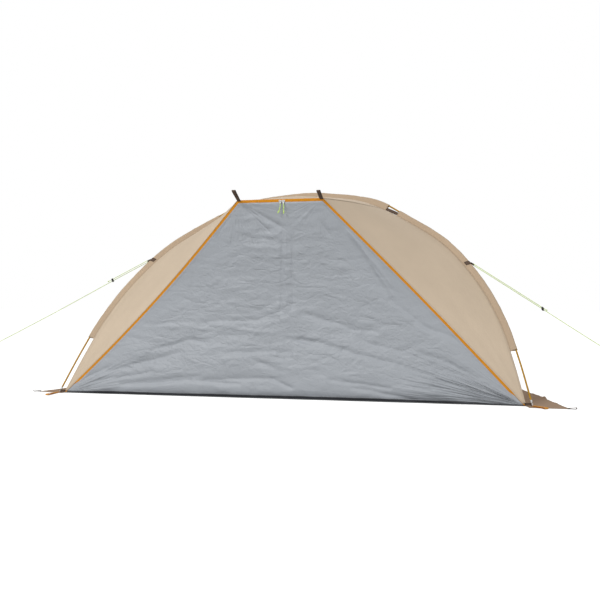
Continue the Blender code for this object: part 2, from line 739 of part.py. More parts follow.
def make_sleeve(name, line, start, end, pole_shift, seam_shift):
    """A sewn pole sleeve; each shift leads from the line to the pole and to the seam."""
    outer, inner = [], []
    for run in line.stops(start, end):
        point, outward = line.place(run)
        pole = point + outward * pole_shift[0] + line.plane * pole_shift[1]
        outside, inside = sleeve_section(pole, point + outward * seam_shift, line.plane)
        outer.append(outside)
        inner.append(inside)
    add_piece(name, swept(outer, inner), SLEEVE_CLOTH)


def make_tip(name, side):
    """The metal end of the arch pole: a cap on the tube and a pin for the ring."""
    rings = []
    for run, radius in ((0.0, TIP_PIN_RADIUS), (TIP_LENGTH - TIP_CAP_LENGTH, TIP_PIN_RADIUS),
                        (TIP_LENGTH - TIP_CAP_LENGTH, TIP_CAP_RADIUS),
                        (TIP_LENGTH - TOUCH, TIP_CAP_RADIUS)):
        point, outward = ARCH.place(TIP_START + run)
        rings.append([mirrored(p, side) for p in ring(point, radius, outward, ARCH.plane)])
    add_piece(name, swept(rings), STEEL)


TIP_START = 0.0045           # from the ground line to the pin's end
POLE_START = TIP_START + TIP_LENGTH


def foot_place():
    """The middle of the foot ring, which rests on the sand flap."""
    foot, _ = ARCH.place(TIP_START + RING_WIRE)
    foot.z = FLAP_TOP + TOUCH + RING_WIRE
    return foot


def make_corner_tab(name, side):
    """The upright webbing between the foot ring's top and the canopy's ground corner."""
    low = foot_place().z + RING_WIRE + TOUCH
    inner = edge_half(low, TAPE_START) + 2 * TOUCH
    outer = foot_place().x - RING_RADIUS + 2 * RING_WIRE
    middle = at(side * (inner + outer) / 2, 0.0, low + TAB_HEIGHT / 2)
    add_piece(name, softened(box(middle, Vector((outer - inner, 2 * WEB, TAB_HEIGHT))), WEB / 4), BROWN)


def make_ring(name, side):
    """The ring that holds the pole tip's pin."""
    middle = foot_place()
    rings = []
    for i in range(2 * ROUND):
        turn = 2 * math.pi * i / (2 * ROUND)
        way = Vector((math.cos(turn), math.sin(turn), 0.0))
        rings.append([mirrored(p, side) for p in
                      ring(middle + way * (RING_RADIUS - RING_WIRE), RING_WIRE, way,
                           Vector((0.0, 0.0, 1.0)))])
    made = bmesh.new()
    skin(made, rings + [rings[0]])
    bmesh.ops.remove_doubles(made, verts=made.verts[:], dist=TOUCH / 10)
    add_piece(name, made, DARK)


# Webbing

def make_loop(name, base, way, width_way, length, width, slot, look):
    """A webbing loop: base is the middle of its sewn end, slot half of its gap at the bend."""
    up = way.cross(width_way).normalized()
    bend = [math.radians(turn) for turn in (-90, -45, 0, 45, 90)]

    def outline(sewn, bent, start, end, shift):
        points = [base + way * start + up * sewn, base + way * start - up * sewn]
        points += [base + way * (end - bent + bent * math.cos(turn)) + up * (bent * math.sin(turn))
                   for turn in bend]
        return [point + width_way * shift for point in points]

    edges = (-width / 2, width / 2)
    outer = [outline(LOOP_SEWN + WEB, slot + WEB, 0.0, length, edge) for edge in edges]
    inner = [outline(LOOP_SEWN, slot, WEB, length - WEB, edge) for edge in edges]
    add_piece(name, swept(outer, inner), look)


def make_corner_loops():
    """The loops that stand up from the top corners of the front opening, over its zip."""
    way = Vector((0.0, -0.894, 0.447)).normalized()
    half = LOOP_SEWN + WEB
    z = CORNER_HEIGHT - TAPE_MIDDLE / 2
    for label, side in SIDES.items():
        x = side * (CORNER_HALF - WEB_WIDTH / 2 + TAPE_START)
        depth = front_depth(x, z + half) - CLOTH / 2 - TOUCH - half * way.z
        make_loop(f"corner_loop_{label}", at(x, depth, z), way, Vector((1.0, 0.0, 0.0)),
                  CORNER_LOOP_LENGTH[side], WEB_WIDTH, CORNER_LOOP_SLOT, BROWN)


def make_gap_strap(name, side):
    """The webbing that joins two sleeve ends across a gap, low at its inner end."""
    low_start, low_end = TOP_SEAM_DROP - EDGE_GAP - WEB_WIDTH, POLE_RADIUS + 2 * WEB
    grid = []
    stops = ARCH.stops(GAP_RUNS[0] + TOUCH, GAP_RUNS[1] - TOUCH)
    for run in stops:
        share = (run - stops[0]) / (stops[-1] - stops[0])
        point, outward = ARCH.place(run)
        near = low_end + (low_start - low_end) * share
        row = [point - outward * (near + WEB_WIDTH * part) for part in (0.0, 0.5, 1.0)]
        grid.append([mirrored(p, side) for p in row])
    add_piece(name, thick_sheet(grid), BROWN)


# Sand flaps and ground straps

def side_half(depth):
    """Half the width of the floor at a depth."""
    return FOOT_HALF + (REAR_HALF - FOOT_HALF) * depth / FLOOR_DEPTH


def make_flap(name, side):
    """The brown flap along one side, lying on the ground with a few waves."""
    columns, rows = 3, 12
    grid = []
    for i in range(rows + 1):
        row = []
        for j in range(columns + 1):
            out = j / columns
            ahead = FLAP_AHEAD[side] - FLAP_SLANT[side] * out
            depth = -ahead + (FLOOR_DEPTH + ahead) * i / rows
            x = side_half(depth) + 2 * TOUCH + FLAP_WIDTH[side] * out
            wave = FLAP_WAVE * max(0.0, math.sin(2 * math.pi * 2.5 * i / rows + 1.0))
            settle = out * min(1.0, max(0.0, 3 * (i - 2) / rows))
            row.append(at(side * x, depth, CLOTH / 2 + TOUCH + wave * settle))
        grid.append(row)
    add_piece(name, thick_sheet(grid), FLAP)


def make_ground_loop(name, start, way, length, width, look):
    """A peg loop that lies level with the flap's top from its sewn end to its open bend."""
    base = Vector((start.x, start.y, FLAP_TOP + TOUCH + LOOP_SEWN + WEB))
    flat = Vector((way.y, -way.x, 0.0)).normalized()
    rise = Vector((0.0, 0.0, (GROUND_LOOP_SLOT - LOOP_SEWN) / length))
    make_loop(name, base, (way.normalized() + rise).normalized(), flat, length, width,
              GROUND_LOOP_SLOT, look)


def make_ground_loops(label, side):
    """Peg loops: orange at the foot and the rear corner, brown on the flap's front corner."""
    way = FOOT_STRAP_WAY[side].normalized()
    start = mirrored(foot_place(), side) + way * (RING_RADIUS + TOUCH)
    make_ground_loop(f"foot_strap_{label}", start, way, FOOT_STRAP_LENGTH[side], WEB_WIDTH, ORANGE)
    way = Vector((0.93 * side, -0.37, 0.0)).normalized()
    ahead = FLAP_AHEAD[side] - FLAP_SLANT[side]
    corner = at(side * (side_half(-ahead) + FLAP_WIDTH[side]), -ahead, 0.0)
    make_ground_loop(f"flap_loop_{label}", corner - way * FLAP_LOOP_WIDTH, way, FLAP_LOOP_LENGTH,
                     FLAP_LOOP_WIDTH, BROWN)
    way = Vector((0.55 * side, 0.83, 0.0)).normalized()
    start = mirrored(REAR_CORNER, side) + way * (CLOTH / 2 + TOUCH)
    make_ground_loop(f"rear_strap_{label}", start, way, REAR_STRAP_LENGTH, WEB_WIDTH, ORANGE)


# Zip sliders

def box(middle, size):
    """A closed box."""
    made = bmesh.new()
    bmesh.ops.create_cube(made, size=1.0)
    bmesh.ops.scale(made, vec=size, verts=made.verts[:])
    bmesh.ops.translate(made, vec=middle, verts=made.verts[:])
    return made


def softened(made, width):
    """The box with its edges rounded off."""
    bmesh.ops.bevel(made, geom=made.edges[:], offset=width, segments=2, profile=0.5,
                    affect="EDGES", material=-1)
    return made


def use_boolean(piece, other, operation):
    """Join or cut a piece by another object, which isn't a piece of its own."""
    other.hide_render = True
    other.display_type = "WIRE"
    change = piece.modifiers.new(operation.lower(), "BOOLEAN")
    change.operation = operation
    change.solver = "EXACT"
    change.object = other


def turned(made, middle, ways):
    """The mesh with its own axes turned to the given ways, about its new middle."""
    bmesh.ops.transform(made, matrix=Matrix(ways).transposed().to_4x4(), verts=made.verts[:])
    bmesh.ops.translate(made, vec=middle, verts=made.verts[:])
    return made


def make_slider(label, side, hinge):
    """A zip slider with its bridge, and the pull that hangs on the bridge with its cord."""
    x = SLIDERS_MIDDLE + side * SLIDER_APART / 2
    z = CORNER_HEIGHT - TAPE_MIDDLE
    across = Vector((1.0, 0.0, 0.0))
    up = (front_point(x, z + TAPE_START) - front_point(x, z - TAPE_START)).normalized()
    out = up.cross(across).normalized()
    if out.y > 0:
        out = -out
    face = front_point(x, z) + out * (CLOTH / 2 + TOUCH)
    middle = face + out * (SLIDER_THICK / 2)
    plate = softened(box(Vector(), Vector((SLIDER_LENGTH, SLIDER_THICK, SLIDER_HEIGHT))),
                     SLIDER_THICK / 4)
    slider = add_piece(f"zip_slider_{label}", turned(plate, middle, (across, out, up)), STEEL,
                       middle, hinge)

    front = face + out * SLIDER_THICK
    rings = []
    for i in range(BRIDGE_STEPS + 1):
        turn = math.pi * i / BRIDGE_STEPS
        way = out * math.sin(turn) + up * math.cos(turn)
        rings.append(ring(front + way * BRIDGE_REACH, BRIDGE_RADIUS, across, way, ELASTIC_SIDES))
    sunk = out * (SLIDER_THICK / 3)
    rings = [[p - sunk for p in rings[0]]] + rings + [[p - sunk for p in rings[-1]]]
    bridge = add_piece(f"bridge_{label}", swept(rings), STEEL, middle, hinge)
    use_boolean(slider, bridge, "UNION")

    axis = front + out * ((BRIDGE_REACH - BRIDGE_RADIUS + TOUCH) / 2)
    bar = PULL_THICK
    centre = axis - Vector((0.0, 0.0, PULL_LENGTH / 2 - bar / 2))
    tab = softened(box(centre, Vector((PULL_WIDTH, PULL_THICK, PULL_LENGTH))), PULL_THICK / 5)
    pull = add_piece(f"zip_pull_{label}", tab, STEEL, axis, hinge)
    eye_middle = axis - Vector((0.0, 0.0, bar / 2 + EYE_HEIGHT / 2))
    eye = add_piece(f"eye_{label}", box(eye_middle, Vector((EYE_WIDTH, 2 * PULL_THICK, EYE_HEIGHT))),
                    STEEL, axis, hinge)
    use_boolean(pull, eye, "DIFFERENCE")

    start = axis - Vector((0.0, 0.0, PULL_LENGTH - bar / 2 + TOUCH))
    route = PULL_CORD_ROUTE[label]
    points = [start + Vector((x, depth, z)) for x, depth, z, _ in route]
    add_cord(f"pull_cord_{label}", points, [thickness for _, _, _, thickness in route],
             PULL_CORD_RADIUS, axis, hinge)


# Guy lines

def guy_frame(side):
    """Start of a guy line at its loop, its way out, and its two square directions."""
    point, outward = ARCH.place(GUY_RUN[side])
    outward = mirrored(outward, side)
    way = mirrored(GUY_WAY, side)
    square = (outward - way * outward.dot(way)).normalized()
    lift = SLEEVE_RADIUS + LOOP_SEWN + WEB - TOUCH
    spread = way.cross(square).normalized()
    if spread.z < 0:
        spread = -spread
    return mirrored(point, side) + square * lift, way, square, spread


def make_guy_loop(name, side):
    base, way, _, spread = guy_frame(side)
    make_loop(name, base, way, spread, GUY_LOOP_LENGTH, GUY_LOOP_WIDTH, GUY_LOOP_SLOT, BROWN)


def make_guy_line(name, side, route):
    """One unbroken cord, from its knotted tail through the guy loop to the eye at its far end."""
    base, way, _, spread = guy_frame(side)
    points = [base + way * run + spread * across for run, across, _ in route]
    add_cord(name, points, [thickness for _, _, thickness in route], GUY_RADIUS)


def make_runner(label, side, runner_run):
    """The plastic runner, with one bore for each strand."""
    base, way, square, spread = guy_frame(side)
    middle = base + way * runner_run
    made = softened(box(Vector(), Vector((RUNNER_LENGTH, RUNNER_THICK, RUNNER_WIDTH))),
                    RUNNER_THICK / 6)
    runner = add_piece(f"guy_runner_{label}", turned(made, middle, (way, square, spread)), DARK,
                       middle)
    for place, sign in (("high", 1), ("low", -1)):
        centre = middle + spread * (sign * GUY_SPREAD / 2)
        rings = [ring(centre + way * reach, RUNNER_BORE, square, spread)
                 for reach in (-RUNNER_LENGTH, RUNNER_LENGTH)]
        bore = add_piece(f"bore_{label}_{place}", swept(rings), DARK, middle)
        use_boolean(runner, bore, "DIFFERENCE")


# The whole tent

def make_tent():
    hinge = add_empty("front_panel_hinge", at(0.0, -HINGE_AHEAD, HINGE_HEIGHT))
    make_floor()
    make_back_wall()
    make_visor()
    for label, side in SIDES.items():
        make_wing(f"wing_{label}", side)
        make_side_wall(f"side_wall_{label}", side)
        make_flap(f"sand_flap_{label}", side)
        make_gap_strap(f"gap_strap_{label}", side)
        make_tip(f"pole_tip_{label}", side)
        make_ring(f"foot_ring_{label}", side)
        make_corner_tab(f"corner_tab_{label}", side)
        make_guy_loop(f"guy_loop_{label}", side)
        make_guy_line(f"guy_line_{label}", side, GUY_ROUTE[label])
        make_runner(label, side, RUNNER_RUN[label])
        make_slider(label, side, hinge)
        make_ground_loops(label, side)
    make_corner_loops()
    make_front_panel(hinge)
    add_piece("zip_tape_canopy", thick_sheet(tape_grid(TAPE_START, TAPE_MIDDLE)), ORANGE)
    add_piece("zip_tape_panel", thick_sheet(tape_grid(TAPE_MIDDLE + TAPE_GAP, TAPE_END)), ORANGE,
              hinge.location, hinge)

    make_pole("arch_pole", ARCH, POLE_START, ARCH.length - POLE_START, ARCH_SECTIONS)
    far = ARCH.length
    for label, start, end in (("right", SLEEVE_END_RUN[1.0], GAP_RUNS[0]),
                              ("top", GAP_RUNS[1], far - GAP_RUNS[1]),
                              ("left", far - GAP_RUNS[0], far - SLEEVE_END_RUN[-1.0])):
        drop = TOP_SEAM_DROP if label == "top" else SIDE_SEAM_DROP
        make_sleeve(f"arch_sleeve_{label}", ARCH, start, end, (0.0, 0.0), -drop)
    shift = (-SIDE_POLE_DROP * math.cos(SIDE_HANG), -SIDE_POLE_DROP * math.sin(SIDE_HANG))
    start, end = SIDE_SLEEVE_START, RIDGE.length - SIDE_SLEEVE_END
    for label, line in (("right", RIDGE), ("left", other_half(RIDGE))):
        make_sleeve(f"side_sleeve_{label}", line, start, end, shift, 0.0)
        make_pole(f"side_pole_{label}", line, start + SLEEVE_RADIUS, end + SLEEVE_RADIUS,
                  SIDE_SECTIONS, shift)


make_tent()
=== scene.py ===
# %% [markdown]
# # Beach tent with a zipped front panel
# One leaning arch pole carries a beige canopy. Two side poles under its ridges push the front's
# top corners forward. A grey coated panel closes the front with an orange zip round three sides,
# and folds down as a porch mat. Each cell makes one kind of piece.

# %% Load the frame
import math
from bisect import bisect_right
from itertools import accumulate

import bmesh
import bpy
from mathutils import Matrix, Vector, noise


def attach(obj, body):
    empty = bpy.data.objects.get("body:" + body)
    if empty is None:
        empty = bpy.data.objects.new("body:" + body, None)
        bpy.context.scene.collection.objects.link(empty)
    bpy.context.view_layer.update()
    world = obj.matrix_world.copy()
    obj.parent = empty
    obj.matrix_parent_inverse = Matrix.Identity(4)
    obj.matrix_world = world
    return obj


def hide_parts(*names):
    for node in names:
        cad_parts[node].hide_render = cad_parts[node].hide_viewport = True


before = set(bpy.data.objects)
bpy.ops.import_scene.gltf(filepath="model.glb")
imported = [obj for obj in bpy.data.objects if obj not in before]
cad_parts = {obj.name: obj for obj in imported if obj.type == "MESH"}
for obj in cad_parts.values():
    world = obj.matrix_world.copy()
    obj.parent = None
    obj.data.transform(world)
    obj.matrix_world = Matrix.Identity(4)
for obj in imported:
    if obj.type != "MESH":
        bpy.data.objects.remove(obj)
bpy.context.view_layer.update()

# %% [markdown]
# ## Sizes
# The solids in the frame were drawn from these same sizes, so the cloth that is made here lies
# where they lie. Heights are above the ground, and a depth is counted back from the line between
# the arch pole's two feet.

# %% Sizes of the tent
HALF_SPAN = 1.350
ARCH_RISE = 1.3925
ARCH_LEAN = math.radians(30)
FLOOR_DEPTH = 1.250
FOOT_HALF = 1.315
REAR_HALF = 0.970
CORNER_HALF = 0.245
CORNER_HEIGHT = 1.102
ARCH_SHAPE_SHARES = [(1.0, 0.0), (0.946, 0.198), (0.890, 0.363), (0.793, 0.548), (0.640, 0.737),
                     (0.423, 0.8915), (0.370, 0.926), (0.311, 0.9545), (0.233, 0.974), (0.156, 0.9865)]
RIDGE_BACK_SHARES = [(0.322, 0.089), (0.588, 0.259), (0.825, 0.520), (0.955, 0.770)]
RIDGE_CROWN = 0.015
TOP_SEAM_DROP = 0.0380       # from the arch pole to the seam that its top sleeve stands on
SIDE_SEAM_DROP = 0.0300      # the same for the left and right sleeves
SIDE_POLE_DROP = 0.0220
SIDE_HANG = math.radians(20)
SLEEVE_END_RISE = {-1.0: 0.368, 1.0: 0.323}
GAP_INNER, GAP_MIDDLE, GAP_OUTER = 0.505, 0.541, 0.573
EDGE_SETBACK, HEM_SETBACK = 0.090, 0.035
HEM_HEIGHT, WALL_FOOT = 0.0040, 0.0032
SIDES = {"left": -1.0, "right": 1.0}


def at(x, depth, z):
    """A point from its distance to the middle, its depth and its height."""
    return Vector((x, depth - FLOOR_DEPTH / 2, z))


def mirrored(point, side):
    """The point on the left or the right half."""
    return Vector((point.x * side, point.y, point.z))


def eased(share):
    """0 to 1 with level ends."""
    share = min(max(share, 0.0), 1.0)
    return share * share * (3 - 2 * share)


print("front", 2 * FOOT_HALF, "m wide, arch", 2 * HALF_SPAN, "m")

# %% [markdown]
# ## Bent lines
# A bent pole has no corners, so its line is a smooth curve through a few measured points. The
# same curve carries the pole, its sleeve and the seams of the cloth beside it, which is why it is
# kept as an object that can be asked for a point at any distance.

# %% A smooth line and how to walk along it
SPLINE_STEPS = 24


def smooth_through(points, steps=SPLINE_STEPS):
    """Closely spaced points on a smooth curve through the given ones, however they are spaced."""
    ends = [2 * points[0] - points[1]] + list(points) + [2 * points[-1] - points[-2]]
    curve = []
    for a, b, c, d in zip(ends, ends[1:], ends[2:], ends[3:]):
        t1 = math.sqrt((b - a).length)
        t2 = t1 + math.sqrt((c - b).length)
        t3 = t2 + math.sqrt((d - c).length)
        for step in range(steps):
            t = t1 + (t2 - t1) * step / steps
            ab, bc, cd = a.lerp(b, t / t1), b.lerp(c, (t - t1) / (t2 - t1)), c.lerp(d, (t - t2) / (t3 - t2))
            curve.append(ab.lerp(bc, t / t2).lerp(bc.lerp(cd, (t - t1) / (t3 - t1)), (t - t1) / (t2 - t1)))
    curve.append(points[-1].copy())
    return curve


def runs_of(points):
    """Each point's distance along the line from its start."""
    return list(accumulate(((b - a).length for a, b in zip(points, points[1:])), initial=0.0))


class Line:
    """A line through closely spaced points, in a plane where that matters."""

    def __init__(self, points, plane=None):
        self.points, self.plane, self.run = points, plane, runs_of(points)
        self.length = self.run[-1]

    def point(self, run):
        run = min(max(run, 0.0), self.length)
        i = min(bisect_right(self.run, run) - 1, len(self.points) - 2)
        share = (run - self.run[i]) / (self.run[i + 1] - self.run[i])
        return self.points[i].lerp(self.points[i + 1], share)

    def at(self, share):
        return self.point(self.length * share)

    def way(self, run):
        reach = 0.02
        return (self.point(run + reach) - self.point(run - reach)).normalized()

    def outward(self, run):
        return self.plane.cross(self.way(run)).normalized()

    def evenly(self, count):
        return Line([self.at(i / count) for i in range(count + 1)], self.plane)

    def run_where(self, test):
        """The distance along the first half where test, falling with distance, reaches zero."""
        low, high = 0.0, self.length / 2
        for _ in range(40):
            middle = (low + high) / 2
            if test(self.point(middle)) > 0:
                low = middle
            else:
                high = middle
        return low


# %% The arch and the ridges
def lean_point(x, rise):
    return at(x, rise * math.sin(ARCH_LEAN), rise * math.cos(ARCH_LEAN))


half_arch = [lean_point(x * HALF_SPAN, rise * ARCH_RISE) for x, rise in ARCH_SHAPE_SHARES]
arch_points = half_arch + [lean_point(0.0, ARCH_RISE)] + [mirrored(p, -1.0) for p in reversed(half_arch)]
ARCH_PLANE = Vector((0.0, math.cos(ARCH_LEAN), -math.sin(ARCH_LEAN)))
ARCH = Line(smooth_through(arch_points), ARCH_PLANE).evenly(320)
CROSS_RUN = ARCH.run_where(lambda point: point.x - GAP_MIDDLE)
GAP_RUNS = (ARCH.run_where(lambda point: point.x - GAP_OUTER),
            ARCH.run_where(lambda point: point.x - GAP_INNER))


def seam_drop(run):
    """How far the seam lies below the arch pole; it changes inside each gap."""
    near = min(run, ARCH.length - run)
    share = eased((near - GAP_RUNS[0]) / (GAP_RUNS[1] - GAP_RUNS[0]))
    return SIDE_SEAM_DROP + (TOP_SEAM_DROP - SIDE_SEAM_DROP) * share


def seam_points(start, end, count=120):
    """Points on the seam below the arch pole, between two distances along that pole."""
    runs = [start + (end - start) * i / count for i in range(count + 1)]
    return [ARCH.point(run) - ARCH.outward(run) * seam_drop(run) for run in runs]


SLEEVE_END_RUN = {side: ARCH.run_where(lambda point: rise * math.cos(ARCH_LEAN) - point.z)
                  for side, rise in SLEEVE_END_RISE.items()}
CROSSING = seam_points(CROSS_RUN, CROSS_RUN)[0]
FRONT_CORNER = at(CORNER_HALF, 0.0, CORNER_HEIGHT)
REAR_CORNER = at(REAR_HALF, FLOOR_DEPTH, WALL_FOOT)
GROUND_CORNER = at(FOOT_HALF, 0.0, WALL_FOOT)


def ridge_lines():
    """The right ridge in two parts: front corner to crossing, and on to the rear corner."""
    plane = (REAR_CORNER - FRONT_CORNER).cross(CROSSING - FRONT_CORNER).normalized()
    outward = plane.cross(CROSSING - FRONT_CORNER).normalized()
    points = [FRONT_CORNER, FRONT_CORNER.lerp(CROSSING, 0.5) + outward * RIDGE_CROWN, CROSSING]
    flat = Vector((REAR_CORNER.x - CROSSING.x, REAR_CORNER.y - CROSSING.y, 0.0))
    for back, drop in RIDGE_BACK_SHARES:
        point = CROSSING + flat * back
        point.z = CROSSING.z + (REAR_CORNER.z - CROSSING.z) * drop
        points.append(point - plane * (point - CROSSING).dot(plane))
    points.append(REAR_CORNER)
    smooth, turn = smooth_through(points), 2 * SPLINE_STEPS   # the crossing is the third point
    return Line(smooth, plane).evenly(240), Line(smooth[:turn + 1], plane), Line(smooth[turn:], plane)


RIDGE, RIDGE_FRONT, RIDGE_REAR = ridge_lines()
print("arch pole", round(ARCH.length, 3), "m, ridge", round(RIDGE.length, 3), "m")

# %% [markdown]
# ## Camera, light and floor
# The photo was taken from the right of the middle, half a metre above the ground, with a level
# camera turned a little to the left. The light is a pale studio: an even surround and three broad
# lamps, the strongest one high on the left.

# %% Camera
def show(thing):
    """Puts an object in the scene."""
    bpy.context.scene.collection.objects.link(thing)
    return thing


camera = show(bpy.data.objects.new("camera", bpy.data.cameras.new("camera")))
camera.data.lens, camera.data.sensor_width, camera.data.shift_y = 54.0, 36.0, -0.005
camera.location = (1.358, -5.397, 0.5625)
camera.rotation_euler = (math.radians(90), 0.0, math.radians(14.6))
bpy.context.scene.camera = camera


# %% Lamps, surround and floor
AIM = Vector((0.0, 0.0, 0.4))    # all lamps look at the tent's middle
WHITE = (1.0, 1.0, 1.0, 1.0)
PAPER = (0.50, 0.50, 0.49, 1.0)
FLOOR_REACH, FLOOR_LEVEL = 30.0, -0.0008


def add_lamp(name, place, size, energy):
    lamp = show(bpy.data.objects.new(name, bpy.data.lights.new(name, "AREA")))
    lamp.data.shape, lamp.data.size, lamp.data.energy = "DISK", size, energy
    lamp.location = place
    lamp.rotation_euler = (AIM - Vector(place)).to_track_quat("-Z", "Y").to_euler()


add_lamp("key_lamp", (-2.2, -4.8, 4.0), 2.6, 175)
add_lamp("fill_lamp", (3.6, -4.0, 2.6), 3.0, 50)
add_lamp("back_lamp", (0.5, 4.8, 3.6), 3.0, 45)


def add_node(tree, kind, *inputs, **settings):
    """A new node; each input is its name or number, and a socket or a value."""
    node = tree.nodes.new("ShaderNode" + kind)
    for name, value in settings.items():
        setattr(node, name, value)
    for name, value in inputs:
        if isinstance(value, bpy.types.NodeSocket):
            tree.links.new(value, node.inputs[name])
        else:
            node.inputs[name].default_value = value
    return node


def pick_by_ray(tree, lighting, seen, output):
    """One shader lights the scene; the eye, a reflection or clear material sees the other."""
    rays = add_node(tree, "LightPath").outputs
    share = rays["Is Camera Ray"]
    for name in ("Is Glossy Ray", "Is Transmission Ray"):
        share = add_node(tree, "Math", (0, share), (1, rays[name]), operation="MAXIMUM").outputs[0]
    pick = add_node(tree, "MixShader", ("Fac", share), (1, lighting.outputs[0]), (2, seen.outputs[0]))
    tree.links.new(pick.outputs[0], tree.nodes[output].inputs["Surface"])


world = bpy.data.worlds.new("studio")
bpy.context.scene.world = world
world.use_nodes = True
tree = world.node_tree
surround = tree.nodes["Background"]
surround.inputs["Color"].default_value, surround.inputs["Strength"].default_value = WHITE, 0.40
pick_by_ray(tree, surround, add_node(tree, "Background", ("Color", WHITE)), "World Output")

made = bmesh.new()
bmesh.ops.create_grid(made, x_segments=1, y_segments=1, size=FLOOR_REACH)
floor_mesh = bpy.data.meshes.new("studio_floor")
made.to_mesh(floor_mesh)
made.free()
floor = show(bpy.data.objects.new("studio_floor", floor_mesh))
floor.location.z = FLOOR_LEVEL
paper = bpy.data.materials.new("studio_paper")
paper.use_nodes = True
tree = paper.node_tree
base = tree.nodes["Principled BSDF"]
base.inputs["Base Color"].default_value, base.inputs["Roughness"].default_value = PAPER, 0.9
glow = add_node(tree, "Emission", ("Strength", 0.80))
both = add_node(tree, "AddShader", (0, base.outputs[0]), (1, glow.outputs[0]))
pick_by_ray(tree, base, both, "Material Output")
floor_mesh.materials.append(paper)
bpy.context.scene.view_settings.view_transform = "Standard"
print("camera, three lamps and a floor")

# %% [markdown]
# ## Finishes
# Most of the tent is woven polyester. Its threads are finer than the eye sees from here, so the
# weave is a low bump, and what shows is the slight change of tone across a panel and the small
# crinkles that packing leaves. All of that is drawn by nodes on a map that counts metres of
# cloth, so the threads keep their size on every piece.

# %% A material in the making
WAVE_PERIOD = math.pi / 10   # the Wave texture's scale that makes one band per unit


def scaled(colour, factor):
    return [min(1.0, part * factor) for part in colour]


class Look:
    """A material's nodes, its shader and the colour reached so far."""

    def __init__(self, name, colour, roughness, metallic=0.0, sheen=0.0, gloss=0.5):
        self.material = bpy.data.materials.new(name)
        self.material.use_nodes = True
        self.tree = self.material.node_tree
        self.shader = self.tree.nodes["Principled BSDF"]
        self.colour = self.ground = colour
        for socket, value in (("Roughness", roughness), ("Metallic", metallic),
                              ("Sheen Weight", sheen), ("Specular IOR Level", gloss)):
            self.shader.inputs[socket].default_value = value

    def node(self, kind, *inputs, **settings):
        return add_node(self.tree, kind, *inputs, **settings)

    def sum(self, operation, *values):
        """One sum on sockets or numbers."""
        return self.node("Math", *enumerate(values), operation=operation).outputs[0]

    def times(self, first, second):
        return self.sum("MULTIPLY", first, second)

    def map(self, source="UV", scale=(1.0, 1.0, 1.0), turn=(0.0, 0.0, 0.0)):
        """A map's coordinates, scaled and turned."""
        spot = self.node("TexCoord").outputs[source]
        return self.node("Mapping", ("Vector", spot), ("Scale", scale), ("Rotation", turn)).outputs[0]

    def cloud(self, vector, scale, detail=3.0, roughness=0.5, distortion=0.0):
        return self.node("TexNoise", ("Vector", vector), ("Scale", scale), ("Detail", detail),
                         ("Roughness", roughness), ("Distortion", distortion)).outputs["Fac"]

    def crease(self, cloud):
        """A sharp valley wherever a cloud passes its middle."""
        return self.sum("ABSOLUTE", self.sum("SUBTRACT", cloud, 0.5))

    def wave(self, vector, direction, period=1.0, distortion=0.0):
        return self.node("TexWave", ("Vector", vector), ("Scale", WAVE_PERIOD / period),
                         ("Distortion", distortion), bands_direction=direction).outputs["Fac"]

    def eased(self, value, low, high, start, end):
        """A value carried smoothly from low..high to start..end."""
        eased = self.node("MapRange", ("Value", value), ("From Min", low), ("From Max", high),
                          ("To Min", start), ("To Max", end), interpolation_type="SMOOTHSTEP")
        return eased.outputs["Result"]

    def rim(self):
        """Each place's distance from the border of its sheet."""
        return self.node("Attribute", attribute_name="rim").outputs["Fac"]

    def rim_band(self, low, high):
        """1 between two distances from the border, else 0."""
        distance = self.rim()
        return self.times(self.sum("GREATER_THAN", distance, low), self.sum("LESS_THAN", distance, high))

    def weave(self, thread):
        """Plain weave: warp threads rise on one square of the draught and weft threads on the next."""
        cells = self.map("UV", (1 / thread, 1 / thread, 1.0))
        draught = self.node("TexChecker", ("Vector", cells), ("Scale", 1.0)).outputs["Fac"]
        over = self.times(self.wave(cells, "X"), draught)
        under = self.times(self.wave(cells, "Y"), self.sum("SUBTRACT", 1.0, draught))
        return self.sum("ADD", over, under)

    def tones(self, value, *stops):
        """Grounds the look on shades of its colour, through stops of (value, factor)."""
        ramp = self.node("ValToRGB", ("Fac", value))
        while len(ramp.color_ramp.elements) < len(stops):
            ramp.color_ramp.elements.new(0.5)
        for element, (place, factor) in zip(ramp.color_ramp.elements, stops):
            element.position, element.color = place, (*scaled(self.colour, factor), 1.0)
        self.ground = ramp.outputs["Color"]

    def mix(self, share, first, second):
        """Grounds the look on two colours mixed; each is a socket or three numbers."""
        colours = [c if isinstance(c, bpy.types.NodeSocket) else (*c, 1.0) for c in (first, second)]
        mixed = self.node("Mix", (0, share), (6, colours[0]), (7, colours[1]), data_type="RGBA")
        self.ground = mixed.outputs[2]

    def lay(self, mask, share, factor):
        """Lays a shade of the look's colour over the ground where the mask says."""
        self.mix(self.times(mask, share), self.ground, scaled(self.colour, factor))

    def wire(self, name, socket):
        self.tree.links.new(socket, self.shader.inputs[name])

    def uneven_roughness(self, mask, share, least):
        self.wire("Roughness", self.sum("ADD", self.times(mask, share), least))

    def finished(self, *layers):
        """Wires the colour and the bumps: each layer is a height, a strength and a depth in metres."""
        below = []
        for height, strength, depth in layers:
            bump = self.node("Bump", ("Height", height), ("Strength", strength), ("Distance", depth), *below)
            below = [("Normal", bump.outputs[0])]
        self.wire("Normal", bump.outputs[0])
        self.wire("Base Color", self.ground)
        return self.material


# %% Woven cloth
THREAD, COATED_THREAD, STITCH = 0.0009, 0.0008, 0.0045
STITCH_ROWS = ((0.0016, 0.0008), (0.0076, 0.0068))   # each row's two sides, in from the hem's fold


